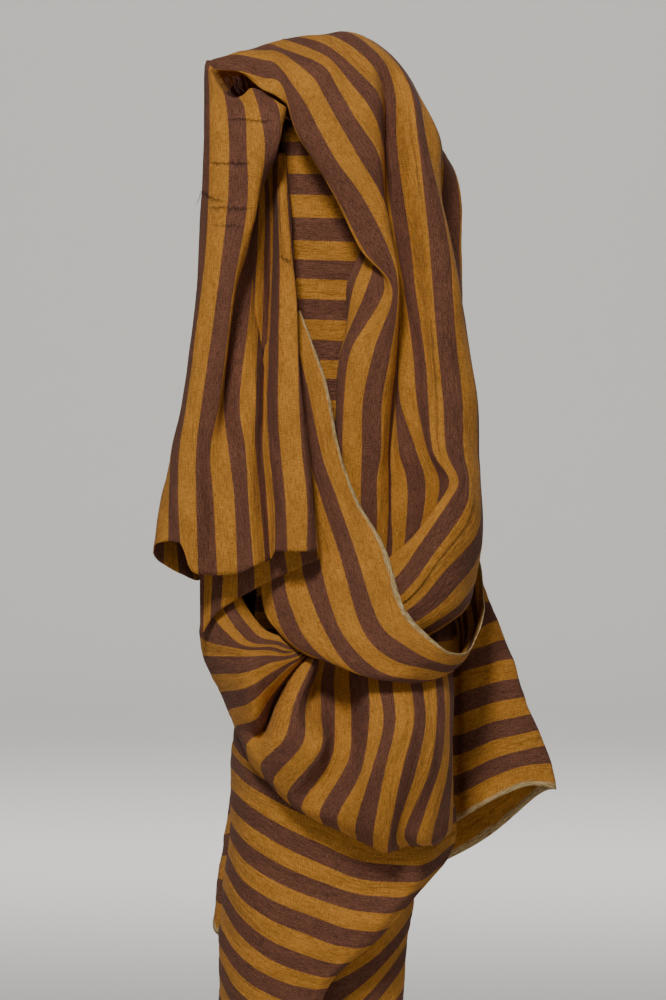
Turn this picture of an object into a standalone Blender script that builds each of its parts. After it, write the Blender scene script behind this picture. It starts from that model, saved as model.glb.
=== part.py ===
"""A cut length of striped linen, draped over a slim stand as a hood, a sling, a pouch and a wrap.

Units are metres, +Z up, and the front faces -Y. The origin is under the top of the hood, where a
stand holds the cloth. The tables are in centimetres. A row is one section of a sheet: its height,
then an entry for each fold, which is (stripe, x, y) or (stripe, x, y, its own height). A stripe is
2 cm of cloth, and whole numbers are the stripes' middles.
"""

import bmesh
import bpy
import numpy as np

cm = 0.01
clothThickness = 0.0016
ochre = (0.48, 0.22, 0.036, 1)

# From the raw end at the front left, up over the stand, down the right side and round to the front
# under the sling. Stripe 0 lies along the hood's front edge.
hoodRows = [
    # the raw end
    (-52.6, (-20, -13.5, -8.4, -61.3), (-18, -12, -8.9, -59), (-15.5, -8, -9.2, -56.4),
     (-12.5, -3.2, -10, -54.1), (-11.2, -1.5, -11.2, -53.2), (-10.5, -1.9, -12.4), (-9.5, -2.8, -13.2),
     (-8.5, -4.7, -12.8), (-7.5, -5.9, -11.7), (-6.6, -6.4, -11, -53.4), (-5.5, -7, -12, -53.7),
     (-4.5, -8.1, -13, -54.1), (-3.5, -9.7, -12.4, -54.8), (-2.5, -11.7, -11.9, -55),
     (-1.5, -13.6, -12.6, -54.9), (-0.5, -15.4, -13, -51.8), (0.5, -16.6, -12.2, -51.6),
     (1.4, -18.2, -10.3), (2.6, -17, -8, -54), (5, -13.8, -4.5, -55.6), (9, -13, 3),
     (13, -8.4, 8.2, -50)),
    (-47.5, (-20, -13.5, -8.2), (-16, -9, -9.2), (-13, -5, -9.8), (-11.2, -2.4, -10.9),
     (-10.5, -2.2, -12), (-9.5, -2.8, -13.1), (-8.5, -4.9, -12.8), (-7.5, -6, -11.4),
     (-6.5, -6.8, -10.6), (-5.5, -7.5, -11.4), (-4.5, -8.6, -12.8), (-3.5, -10, -12.2),
     (-2.5, -12.1, -11.9), (-1.5, -13.8, -12.9), (-0.5, -15.6, -12.6), (0.5, -16.5, -11.3),
     (1.6, -17.4, -9), (5, -14.8, -3.4), (9, -12.8, 3.6), (13, -8, 8.6, -46.5)),
    (-42.5, (-20, -13, -8), (-16, -9, -9), (-13, -5, -9.6), (-11.2, -2.9, -10.4), (-10.5, -2.7, -11.6),
     (-9.5, -3.3, -12.5), (-8.5, -5.4, -12), (-7.5, -6.5, -10.8), (-6.5, -7.2, -10.2),
     (-5.5, -7.9, -11.4), (-4.5, -8.9, -12.2), (-3.5, -10.6, -11.4), (-2.5, -12.4, -12),
     (-1.5, -13.8, -12.4), (-0.5, -15.5, -11.5), (0.7, -16.3, -9.6), (2, -15.8, -7.4), (5, -14.4, -2.8),
     (9, -12.4, 4.2), (13, -7.4, 9, -44)),
    (-37.5, (-20, -12.5, -6.8), (-16, -9, -7.6), (-13, -5.5, -8.4), (-11, -3.6, -9.8),
     (-10.2, -3.3, -11), (-9.5, -3.6, -12), (-8.5, -5.5, -11.6), (-7.8, -6.4, -10.6), (-7, -6.9, -9.8),
     (-6.2, -7.1, -10.4), (-5.5, -7.8, -11.6), (-4.5, -9.5, -10.9), (-3.5, -11.1, -10.2),
     (-3, -11.3, -11), (-2.4, -11.6, -12.2), (-1.5, -13.2, -12.2), (-0.5, -14.7, -11),
     (0.5, -15.2, -9.2), (2, -14.9, -6.8), (5, -13.8, -2.2), (9, -12, 4.6, -39), (13, -7, 9.4, -41)),
    (-27.5, (-20, -12, -5.6), (-16, -8.5, -6.4), (-13, -5.5, -7), (-11, -3.9, -8.6),
     (-10.2, -3.6, -9.8), (-9.5, -3.9, -10.9), (-8.5, -5.5, -10.4), (-7.4, -6.3, -9),
     (-6.6, -6.8, -8.2), (-5.8, -7.3, -9), (-5.2, -7.7, -9.9), (-4.5, -8.3, -9.4), (-3.5, -10.2, -9.2),
     (-3, -10, -10.6), (-2.5, -10.3, -11.6), (-1.5, -11.8, -11.2), (-0.5, -13.4, -10),
     (0.5, -13.9, -8.2), (2, -13.7, -5.8), (5, -13, -1.2, -29), (9, -11.2, 5.2, -31),
     (13, -6.2, 9.8, -34)),
    (-18.5, (-20, -11, -4.6), (-16, -8, -5.2), (-12, -5, -5.8), (-10.6, -4.1, -7.4), (-9.8, -4.5, -8.9),
     (-9.2, -5.2, -9.2), (-8.5, -5.6, -8.3), (-7.6, -5.9, -7.4), (-6.6, -6.6, -6.7), (-5.4, -7.6, -6.8),
     (-4.4, -8, -7.6), (-3.6, -7.6, -9), (-3.1, -7.7, -10.2), (-2.5, -8.8, -10.4), (-1.5, -10.8, -9.9),
     (-0.5, -12.7, -8.8), (0.4, -13.5, -7.2), (2, -13.2, -4.6), (5, -12.6, -0.3, -21),
     (9, -10.6, 6, -25), (13, -5.5, 10, -29)),
    (-12.5, (-20, -10.5, -3.6), (-16, -8, -4), (-12, -5.5, -4.4), (-10.5, -4.4, -5), (-9.5, -4.6, -5.8),
     (-8, -5.8, -6), (-6, -6.3, -7), (-5, -5.6, -8.6), (-4.5, -5.7, -9.5), (-3.5, -7, -9.9),
     (-2.5, -8.8, -9.8), (-1.5, -10.6, -9.3), (-0.5, -12.6, -8.2), (0.5, -13.2, -6.6), (2, -13, -4),
     (5, -12.2, 0.5, -16), (9, -10, 6.5, -20.5), (13, -5, 10, -25)),
    (-8.5, (-20, -10, -3), (-14, -7, -3.4), (-9.5, -5, -5), (-7, -5.2, -6.6), (-5.3, -4.9, -8.2),
     (-4.5, -5.6, -8.9), (-3.5, -7.6, -8.9), (-2.5, -9, -8.6), (-1.5, -10.8, -8.2), (-0.5, -12.6, -7.2),
     (0.5, -13.2, -5.6), (2, -12.9, -3.2, -9.2), (5, -12, 1.5, -12), (9, -9.5, 7, -17),
     (13, -4.5, 9.8, -22)),
    # the corner at the left, then over the top, turning under behind the front edge
    (-4, (-5.5, -5.2, -7.8, -8.2), (-4.5, -7, -8.2, -7.2), (-3.5, -8.6, -7.8, -6.4),
     (-2.5, -10.2, -7.2, -6.3), (-1.5, -11.6, -6.6, -5.6), (-0.5, -12.7, -5.6, -4.4), (0.5, -13, -4.6),
     (2, -12.7, -1.6, -5), (5, -11.2, 3, -7.5), (9, -8.5, 8, -13), (13, -3.5, 10.2, -19)),
    (-2.8, (-5.5, -5.2, -5.6, -8.8), (-4.5, -6.4, -5, -7.8), (-3.5, -7.8, -4.4, -7),
     (-2.5, -8.8, -4.4, -6.5), (-1.5, -9.4, -5.6, -5.6), (-0.65, -9.5, -6.9, -4.9), (0.5, -9.9, -4.6),
     (1.5, -9.6, -2.4), (3, -9, 1, -3.6), (5, -7.8, 4.8, -5.6), (9, -5.5, 9.2, -11),
     (13, -2, 10.6, -18)),
    (-2.5, (-5.5, -3.6, -4.8, -9), (-4.5, -4.8, -4.4, -7.8), (-3.5, -5.8, -4.4, -6.9),
     (-2.5, -6.6, -5, -6.5), (-1.5, -7.2, -6.8, -6.3), (-0.9, -7.6, -8, -5.8), (-0.5, -7.4, -8, -5.3),
     (0.5, -7.6, -6.2, -3.4), (1.5, -7.2, -4.2), (2.5, -6.8, -2.2, -2.3), (4, -6.2, 0.8, -2.8),
     (6, -5, 4.8, -4.4), (9, -3.2, 9, -9.5), (13, -0.6, 10.8, -17)),
    (-2, (-5.5, -2.2, -5.4, -9.6), (-4.5, -3.2, -5.4, -9), (-3.5, -4.2, -5.4, -8.2),
     (-2.5, -4.9, -6.2, -7.5), (-1.6, -5.5, -8.2, -7.1), (-1, -5.7, -8.9, -6.5),
     (-0.5, -5.9, -8.7, -5.6), (0.5, -6, -7.2, -3.9), (1.5, -5.5, -5.6, -2.9), (2.5, -5.1, -4, -2.1),
     (3.5, -4.6, -1.8, -1.3), (5, -3.8, 1.2, -1.6), (7, -2.6, 5, -3.4), (9.5, -1.2, 8.8, -8),
     (13, 0.6, 10.9, -15.5)),
    (-0.9, (-5.5, -0.4, -6, -10.4), (-4.5, -1.2, -6.2, -10), (-3.5, -2.2, -6.5, -9.6),
     (-2.5, -3.2, -6.9, -9), (-1.5, -4, -7.6, -8.6), (-0.7, -4.6, -8.8, -8.2), (0.5, -3.7, -9, -6.7),
     (1.5, -2.3, -8.4, -5.1), (2.5, -1.3, -7, -3.9), (3.5, -0.6, -5.6, -3.1), (4.5, -0.2, -4.2, -2),
     (5.5, 0.2, -2.2, -0.7), (6.5, 0.6, 0, 0.1), (8, 1.8, 2.6, -0.3), (10, 3, 6.4, -2.8),
     (13, 3.6, 10.4, -10)),
    (-4, (-5.5, 0.6, -6.1, -11.4), (-4.5, -0.4, -6.4, -11), (-3.5, -1.4, -6.6, -10.6),
     (-2.5, -2.4, -7, -10.2), (-1.5, -3.4, -7.6, -9.8), (-0.65, -4.2, -8.8, -9.7),
     (0.5, -2.7, -9.4, -8.3), (1.5, -1, -9.4, -7.3), (2.5, 0.3, -8.8, -6.3), (3.5, 1.5, -8.2, -5.7),
     (4.5, 2.5, -7.4, -4.8), (5.5, 3.5, -6.2, -3.6), (6.5, 4.5, -5, -2.8), (7.5, 5.3, -3.2, -1.9),
     (8.5, 5.8, -1.2, -1.9), (10, 6.2, 2, -3.2), (13, 6.4, 7.4, -8.4), (16, 4.4, 10.2, -14),
     (19, 0.8, 11, -20)),
    # down the right side, with a deep pleat beside stripe 6
    (-6.5, (-5.5, 1.4, -6.1, -12.6), (-4.5, 0.4, -6.4, -12.3), (-3.5, -0.6, -6.7, -12),
     (-2.5, -1.6, -7.1, -11.7), (-1.5, -2.6, -7.6, -11.4), (-0.65, -3.5, -8.9, -11.3),
     (0.5, -1.3, -9.8, -11), (1.5, 0.6, -10, -10.2), (2.5, 2, -9.8, -9.3), (3.5, 3.7, -9.2, -8.7),
     (4.3, 4.4, -8.4, -7.8), (5, 4.7, -7.2, -7.3), (5.5, 4.9, -6.6, -7), (6.5, 6, -7, -6.3),
     (7.5, 7.5, -6, -5.9), (8.5, 8.2, -4, -6.2), (9.5, 8.5, -2.4, -6.8), (11, 8.5, 0.4, -8),
     (13, 8, 4.4, -10.5), (16, 5.5, 9, -15), (19, 2, 10.8, -20)),
    (-12.5, (-5.5, 2.8, -5.8, -14.6), (-4.5, 1.8, -6.2, -14.6), (-3.5, 0.8, -6.6, -14.6),
     (-2.5, -0.1, -7, -14.5), (-1.5, -1, -7.6, -14.4), (-0.65, -1.7, -9, -14.3), (0.5, 0.3, -10, -13.8),
     (1.5, 2.5, -10.3, -13.5), (2.3, 4.2, -9.6, -13.2), (3.2, 4.8, -8.6), (4.2, 5, -7.4, -12),
     (5.2, 4.9, -6.8, -11.7), (6.5, 6.2, -8.2, -11.5), (7, 7.3, -8.7, -11.4), (7.5, 8.3, -8.3, -11.3),
     (8.5, 9.2, -6.8, -11.3), (9.5, 10.6, -5.2, -11.4), (10.3, 10.8, -3.6, -12), (11, 10.4, -2),
     (12, 11.4, -0.4, -13), (13, 11.8, 1.6, -13.6), (15, 10.6, 6, -15), (19, 4, 10.6, -19)),
    (-17.5, (-5.5, 4.8, -6), (-4.5, 4, -6.4), (-3.5, 3.2, -6.8), (-2.5, 2.3, -7.2), (-1.5, 1.2, -7.8),
     (-0.75, 0.1, -9), (0.5, 2.9, -10.1), (1.5, 4.8, -9.6), (2.3, 5, -8.2), (3.5, 5.1, -7),
     (4.7, 5.2, -6.8), (5.5, 5.5, -7.6), (6.5, 7, -8.6), (7, 8, -9.2), (7.5, 9, -9), (8.5, 10.6, -7.6),
     (9.2, 11, -6.2), (10, 10.9, -4.6), (11, 11, -3), (12, 12.2, -1.4), (12.7, 12.9, 0),
     (14, 12.6, 2.8), (16, 10.6, 6.4, -18.5), (19, 4.6, 10, -20)),
    (-22.5, (-5.5, 3.2, -6), (-4.5, 2.6, -6.4), (-3.5, 3.2, -6.9), (-2.5, 3.9, -7.6), (-1.5, 3.3, -8.6),
     (-0.8, 2.5, -9.4), (0.5, 5.4, -10.2), (1, 5.9, -9.6), (2.3, 5.9, -8.2), (3.5, 5.9, -7),
     (4.7, 6, -6.8), (5.5, 6.3, -7.4), (6.5, 7.7, -8.4), (7, 8.6, -9.1), (7.5, 9.5, -9.2),
     (8.5, 11.5, -8.2), (9.3, 12, -6.6), (10.2, 12, -4.6), (11.2, 12.2, -2.8), (12.2, 12.8, -1.2),
     (13, 12.9, 0.6), (14.5, 12.2, 3.6), (16.5, 9.8, 7, -23), (19, 4.8, 9.8, -24)),
    (-26.5, (-5.5, 2.6, -6), (-4.6, 1.2, -7.4), (-3.5, 1.8, -8.4), (-2.5, 3.1, -8.8), (-1.5, 4.9, -9),
     (-0.8, 5.5, -9.6), (0.5, 6.3, -9.9), (1.2, 6.5, -9.2), (2.3, 6.4, -8), (3.5, 6.4, -7),
     (4.7, 6.6, -6.8), (5.5, 7, -7.4), (6.5, 8.1, -8.4), (7, 9, -9.2), (7.5, 9.8, -9.4),
     (8.5, 11.8, -8.6), (9.3, 12.6, -6.8), (10.2, 12.6, -4.8), (11.2, 12.6, -3), (12.2, 12.8, -1.2),
     (13, 12.9, 0.6), (14.5, 12.2, 3.8), (16.5, 9.7, 7.2), (19, 4.8, 9.8, -28)),
    (-32.5, (-5.5, 2.8, -5.6), (-4.5, 1.6, -6.2), (-3.5, 0.8, -7), (-2.7, 0.6, -8), (-1.5, 1.6, -8.9),
     (-0.5, 3.9, -9.4), (0.5, 5.6, -9.2), (1.2, 6.2, -8.2), (2.5, 6.3, -7), (3.5, 6.2, -6.4),
     (4.5, 6.4, -6.6), (5.5, 7.8, -7.4), (6.5, 9, -8.6), (7.5, 10.3, -9.4), (8.5, 12.2, -8.6),
     (9.5, 13.5, -6.4), (11, 13.6, -3), (13, 13, 0.8), (14.5, 12.2, 3.8), (16.5, 9.9, 7),
     (19, 5.2, 9.8, -33)),
    (-37.5, (-5.5, 2.5, -5.4), (-4.5, 1.4, -6), (-3.5, 0.6, -6.8), (-2.4, 0.2, -7.8), (-1.5, 0.9, -8.6),
     (-0.5, 2.8, -9.1), (0.5, 4.7, -8.8), (1.5, 5.7, -7.4), (2.5, 6, -6.4), (3.5, 6.1, -6),
     (4.5, 6.6, -6.4), (5.5, 8.3, -7.4), (6.5, 9.3, -8.8), (7.5, 10.8, -9.4), (8.5, 12.7, -8.8),
     (9.5, 14.2, -6.8), (10.2, 14.4, -5), (12, 14, -1.4), (14, 13, 2.6), (16.5, 10.5, 6.6),
     (19, 6, 9.4)),
    (-42.5, (-5.5, 2.4, -5.2), (-4.5, 1.2, -5.8), (-3.5, 0.4, -6.6), (-2.4, 0.1, -7.4),
     (-1.5, 0.8, -8.2), (-0.5, 2.7, -8.6), (0.5, 4.6, -8.4), (1.5, 5.3, -6.9), (2.3, 5.5, -6.2),
     (2.8, 5.8, -6.3), (3.5, 6.4, -7), (4.5, 8.1, -8), (5.5, 9.2, -9), (6.5, 9.8, -9.8),
     (7.5, 11.1, -10.2), (8.5, 12.9, -9.2), (9.5, 14.3, -6.6), (10.5, 14.5, -4.6), (12, 14, -1.4),
     (14, 13, 2.6), (16.5, 10.6, 6.6), (19, 6, 9.2)),
    # the foot of the right side: stripes under 6 drop behind, and the rest turn to the lower left
    (-45.5, (-5.5, 2.4, -5.6), (-4.5, 1.2, -5.9), (-3.5, 0.4, -6.5), (-2.4, 0.1, -7.2), (-1.5, 0.9, -8),
     (-0.5, 2.6, -8.2), (0.5, 4.2, -8), (1.5, 5.3, -6.8), (2.4, 5.6, -6.2), (3.5, 7.2, -7),
     (4.5, 9, -8.2), (5.5, 10.4, -9.2), (6.5, 11.4, -10.2), (7.5, 12.3, -10.6), (8.5, 13.4, -9.8),
     (9.5, 14.5, -7.2), (10.5, 14.6, -4.8), (12, 14.2, -1.4), (14, 13, 2.6, -45),
     (16.5, 10.6, 6.4, -44.5), (19, 6, 9, -44)),
    (-49, (-5.5, 2.4, -6.1), (-4.5, 1.3, -6.4), (-3.5, 0.5, -6.9), (-2.4, 0.3, -7.3), (-1.5, 1, -7.8),
     (-0.5, 2.6, -8), (0.5, 4.2, -7.8), (1.5, 5.3, -7), (2.4, 5.6, -6.6), (3.5, 7.2, -7.1),
     (4.5, 8.8, -7.6), (5.5, 10, -8.2), (6.2, 10.2, -9.4, -48.4), (6.9, 10.5, -10.8, -47.6),
     (7.5, 11.4, -11.2, -47.6), (8.5, 12.8, -10.8, -48.6), (9.5, 14.3, -8.4, -50.6),
     (10.5, 14.6, -5.8, -52.4), (11.5, 14.4, -3.6, -54.2), (12.5, 14, -1.6, -55.4),
     (13, 13.8, -0.6, -55.8)),
    (-53, (-5.5, 2.4, -6.4), (-4.5, 1.4, -6.6), (-3.5, 0.6, -6.9), (-2.4, 0.4, -7.3), (-1.5, 1.1, -7.8),
     (-0.5, 2.6, -7.8), (0.5, 4, -7.6), (1.5, 5, -7.2), (2.4, 5.6, -7), (3.5, 6.7, -7.1),
     (4.5, 7.6, -7.3), (5.5, 8.3, -7.8, -52.6), (6.1, 7.8, -9.4, -52), (6.7, 7.6, -11, -51.4),
     (7.5, 8.4, -11.6, -52), (8.5, 9.6, -11.6, -53.2), (9.5, 10.7, -10.9, -54.8),
     (10.5, 12, -9.6, -56.2), (11.5, 12.9, -7.8, -57.4), (12.5, 13.2, -5.8, -58.2),
     (13, 13.2, -4.8, -58.4)),
    (-56.5, (-5.5, 2.4, -6.5), (-4.5, 1.4, -6.6), (-3.5, 0.6, -6.9), (-2.4, 0.4, -7.3),
     (-1.5, 1.1, -7.8), (-0.5, 2, -7.9), (0.5, 3, -7.7), (1.5, 3.8, -7.4), (2.4, 4.4, -7.2),
     (3.5, 5, -7.3), (4.5, 5.4, -7.6, -56), (5.4, 5.4, -8.2, -55.2), (6, 5.1, -9.4, -54.4),
     (6.6, 5.1, -10.6, -53.6), (7.5, 6.2, -11, -55.1), (8.5, 7.3, -11.2, -56.3),
     (9.5, 8.3, -10.9, -57.6), (10.5, 9.3, -10.4, -58.8), (11.5, 10, -9.6, -59.6),
     (12.5, 10.4, -8.6, -60.2), (13, 10.5, -8, -60.4)),
    (-59, (-5.5, 2.2, -4.2), (-4.5, 1.3, -4.2), (-3.5, 0.5, -4.5), (-2.4, 0.3, -5), (-1.5, 0.9, -5.6),
     (-0.5, 1.8, -5.8), (0.5, 2.6, -5.7), (1.5, 3.2, -5.6), (2.4, 3.5, -5.7), (3.5, 3.3, -6.3),
     (4.5, 2.6, -7.3), (5.4, 1.8, -9, -58.4), (6, 1.4, -9.6, -57.8), (6.6, 1.4, -10.2, -57.4),
     (7.5, 2.4, -10.6, -58.6), (8.5, 3.4, -10.8, -59.6), (9.5, 4.4, -10.6, -60.4),
     (10.5, 5.4, -10.2, -61.2), (11.5, 6, -9.6, -61.8), (12.5, 6.4, -8.8, -62.2),
     (13, 6.5, -8.4, -62.4)),
]

# The stripes at which the hood has a line of points: over its whole length, then the inner stripes
# of its raw end and the last stripes down its back, each between two of its rows.
hoodStripes = np.concatenate([np.arange(-5.5, 8.6, 1), [9.5, 10.5, 11.5, 13]])
endStripes = np.array([-20, -17, -14, -12, -11.2, -10.5, -9.5, -8.5, -7.5, -6.5, -5.5])
endRows = (0, 6)
backStripes = np.array([13, 15, 17, 19])
backRows = (14, 21)

# From behind the front fold, round the front and up behind the right side. Stripe 0 is the selvedge.
slingRows = [
    (-29, (0, -3.5, -7, -28.5), (1.5, -4.6, -7.4), (3.5, -5.4, -7.2, -30), (5.5, -6.2, -7, -31),
     (7.5, -7, -6.8, -32)),
    (-36, (0, -0.9, -8.4, -35.5), (1.5, -2.8, -9), (2.5, -3.6, -8.4), (3.5, -4.4, -7.8),
     (5.5, -6, -7.6, -37.2), (7.5, -7.8, -7.2, -38)),
    (-43, (0, 0.5, -9.2, -42.5), (1.5, -1.3, -10), (2.5, -2.6, -9.4), (3.5, -3.6, -8.8),
     (5.5, -5.6, -8.2, -44.6), (7.5, -8, -7.8, -46)),
    (-47.6, (0, 2.3, -10), (1.5, 0.3, -10.9), (2.5, -1.3, -10.2), (3.5, -2.4, -9.4, -48.6),
     (4.5, -3.5, -8.9, -49.4), (5.5, -4.8, -8.6, -50.2), (7.5, -7.4, -8, -52)),
    (-52.8, (0, 5, -11.4, -52.3), (1.5, 2.1, -12), (2.5, 0.4, -11.4), (3.5, -1.5, -10.2, -53.8),
     (4.5, -3.2, -9.2, -54.6), (5.5, -5, -8.6, -55.8), (6.5, -6.3, -8.3, -56.8),
     (7.5, -7.3, -7.8, -57.8)),
    (-59.5, (0, 6.9, -12.4, -58.1), (1.5, 4.3, -13.2), (2.5, 2.7, -13.6, -60.3),
     (3.5, 0.5, -13.4, -60.3), (4.5, -1, -12.8, -60.5), (5.5, -3.1, -11.6, -61),
     (6.5, -4.8, -10.4, -61.2), (7.5, -5.7, -9.4, -60.7)),
    (-62, (0, 9.9, -12.6, -61.5), (1.5, 7, -14), (2.5, 5.5, -14.4, -63.2), (3.5, 4, -14.4, -64.2),
     (4.5, 1.7, -14, -64.3), (5.5, 0, -13.2, -63.9), (6.5, -1.7, -12.2, -63.3),
     (7.5, -2.7, -11.4, -63)),
    (-63.6, (0, 11.7, -11, -62.7), (1.5, 10.1, -12.4), (2.5, 8.9, -13, -64.2), (3.5, 7.5, -13.4, -65.2),
     (4.5, 5.7, -13.6, -65.5), (5.5, 4.2, -13.2, -65), (6.5, 2.6, -12.6, -64.4), (7.5, 1, -12, -63.8)),
    (-63.6, (0, 13.6, -7.5, -62.3), (1.5, 12.8, -8.2), (2.5, 11.9, -8.8, -64.4), (3.5, 10.8, -9.2, -65),
     (4.5, 9.8, -9.2, -65.4), (5.5, 9.2, -9, -65.8), (6.5, 8.6, -8.8, -66), (7.5, 8, -8.6, -66.1)),
    (-60, (0, 15.1, -2.5, -58.8), (1.5, 14.5, -1.8), (2.5, 14, -1.4, -60.9), (3.5, 13.2, -1.6, -61.8),
     (5.5, 12.4, -2, -63.4), (7.5, 11.8, -2.4, -65)),
    (-57, (0, 15.1, 1.2), (1.5, 14.4, 1.8, -57.6), (3.5, 13.4, 2, -58.8), (5.5, 12.8, 1.8, -60.4),
     (7.5, 12.6, 1.6, -62)),
    (-53.5, (0, 14.7, 2.6), (1.5, 13.9, 2.8), (3.5, 12.8, 2.6, -54.4), (5.5, 12, 2.2, -55.6),
     (7.5, 11.4, 2, -57)),
    (-49.5, (0, 12.8, 1.4), (1.5, 12.4, 1.8), (3.5, 11.6, 2, -50), (5.5, 10.8, 2, -51),
     (7.5, 10.2, 2, -52)),
    (-48, (0, 7.5, -0.4), (1.5, 7.4, 0.4), (3.5, 7, 1.2, -48.6), (5.5, 6.6, 2, -49.4),
     (7.5, 6.4, 2.8, -50.2)),
]

# The pouch fans out from a pinch under the sling. Its rows run from its turned edge up to the sling.
pouchRows = [
    (-80, (-0.5, -9.8, -7.2, -54.6), (1.5, -11.6, -6.6, -54.8), (3.5, -12.6, -4.4, -57.8),
     (4.5, -12, -2.8, -62.6), (5.5, -11.4, -2.6, -65.2), (7.5, -9.9, -3.4, -69.6),
     (8.5, -9.3, -5, -71.6), (9.5, -8.5, -7.6, -73.6), (10.5, -7, -9.2, -75.4), (12.5, -4.4, -10, -78),
     (14.5, -1.2, -10.6, -79.8), (16.5, 2.2, -10.8, -81.4), (18.5, 5.2, -10.6, -82.6),
     (20.5, 7.4, -9.8, -82), (22.5, 9.7, -9, -82), (24.5, 11.5, -6, -81)),
    (-75, (-0.5, -9.7, -8, -57.5), (1.5, -11.3, -7.8, -58.1), (2.5, -12.5, -7.2, -58.7),
     (3.5, -13.4, -6, -61.2), (4.5, -13.1, -5.6, -63.1), (5.5, -12.4, -5.4, -65),
     (6.5, -11.4, -5.6, -66.8), (7.5, -10.6, -6, -68.6), (8.5, -9.8, -7, -70.2),
     (9.5, -8.7, -8.8, -71.9), (10.5, -7.3, -10.2, -73.7), (11.5, -6, -11, -75.1),
     (12.5, -4.6, -11.4, -76.4), (13.5, -3.2, -11.8, -77.6), (14.5, -1.4, -12.4, -78.2),
     (15.5, 0.3, -12.8, -78.8), (16.5, 2.1, -13, -79.5), (17.5, 3.9, -13, -80),
     (18.5, 5.4, -12.6, -80.8), (19.5, 6.2, -11.6, -80.2), (20.5, 7, -11.6, -80.2),
     (21.5, 8.2, -11.4, -80.8), (22.5, 9.7, -10.6, -80.8), (23.5, 11.2, -9, -80.4),
     (24.5, 11.8, -7, -80)),
    (-72, (-0.5, -7.3, -8.4, -60.2), (0.5, -7.9, -9.2, -60.9), (1.5, -8.8, -10, -61.5),
     (2.5, -9.5, -10.6, -61.8), (3.5, -9.7, -10.8, -62.3), (4.5, -9, -11.2, -63.1),
     (5.5, -9, -11.6, -64.7), (6.5, -8.8, -11.6, -66.2), (7.5, -8.5, -11.2, -67.7),
     (8.5, -7.9, -10.6, -69.3), (9.4, -7, -10, -70.3), (9.8, -6.6, -10, -70.4),
     (10.2, -5.8, -11.6, -71.2), (10.6, -4.5, -12.8, -71.2), (11.5, -3.2, -13.6, -71.7),
     (12.5, -1.5, -13.8, -72.3), (13.5, -0.4, -13.2, -73.3), (14.5, 1.3, -13, -73.5),
     (15.5, 2.6, -13.8, -74.3), (16.5, 3.6, -14.6, -74.3), (17.5, 5, -15, -74),
     (18.5, 6.6, -14.8, -74.5), (19.5, 8, -13.8, -74.5), (20.5, 9.3, -13, -74.7),
     (21.5, 10.4, -11.8, -74.3), (22.5, 11.2, -10.4, -74.7), (23.5, 11.7, -8.6, -75),
     (24.5, 11.8, -6.4, -75)),
    (-68, (-0.5, -5.2, -9, -61.2), (1.5, -6, -10, -62), (3.5, -6.6, -10.8, -62.5),
     (4.5, -6.5, -11, -63), (5.5, -6.6, -11.4, -63.8), (6.5, -6.5, -11.5, -64.8),
     (7.5, -6.5, -11, -65.8), (8.5, -6.4, -10.2, -67), (9.4, -6, -9.6, -67.6),
     (9.8, -5.2, -10.4, -67.6), (10.2, -4.4, -11.8, -67.8), (10.6, -3.8, -12.4, -67.8),
     (11.5, -3, -12, -68.4), (12.5, -1.4, -11.6, -68.8), (13.5, 0, -11, -69.4),
     (14.5, 1.6, -11.8, -69.6), (15.5, 3.4, -13.2, -69.6), (16.5, 4.8, -14, -69.6),
     (17.5, 6, -14.2, -69.6), (18.5, 7.8, -13.6, -69.6), (19.5, 9, -12.6, -69.8),
     (20.5, 10.1, -11.8, -69.8), (21.5, 10.9, -10.8, -69.6), (22.5, 11.4, -9.6, -69.8),
     (23.5, 11.8, -7.8, -70), (24.5, 11.8, -6, -70)),
    (-65.6, (-0.5, -3.8, -9.6, -62), (1.5, -4.3, -10, -62.5), (3.5, -4.7, -10.4, -62.8),
     (5.5, -4.8, -10.8, -63.4), (7.5, -4.7, -10.6, -64.2), (8.5, -4.8, -10, -64.9),
     (9.3, -4.6, -9.4, -65.3), (9.8, -3.9, -10.2, -65.1), (10.2, -3.2, -11, -64.6),
     (10.6, -2.6, -10.6, -64.7), (11.5, -2.4, -9.6), (12.5, -1.6, -9.2), (13.5, -0.2, -9.2),
     (14.5, 1.4, -10.2), (15.5, 3.3, -11.6), (16.5, 4.3, -12), (17.5, 5.7, -12), (18.5, 7.5, -11.6),
     (19.5, 8.7, -10.8), (20.5, 10, -10.2), (21.5, 10.7, -9.4), (22.5, 11.3, -8.4), (23.5, 11.8, -7.2),
     (24.5, 11.8, -5.5)),
    (-62.8, (-0.5, -2.6, -8.6, -61.2), (3.5, -3, -9, -62), (6.5, -2.9, -9.4), (9.3, -2.6, -8.8),
     (10.5, -1.8, -9), (12.5, -0.8, -8.4), (14.5, 1.6, -9), (16.5, 4.4, -10.2), (18.5, 7.2, -9.8),
     (21.5, 10, -8.2), (24.5, 11, -5)),
    (-61.6, (-0.5, -3, -5, -60.4), (3.5, -3, -5.1, -61.2), (6.5, -2.8, -5.2, -61.8),
     (9.3, -2, -5, -61.9), (12.5, 0, -4.8), (18.5, 5.6, -4.8), (24.5, 8.4, -2.4)),
]

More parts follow.
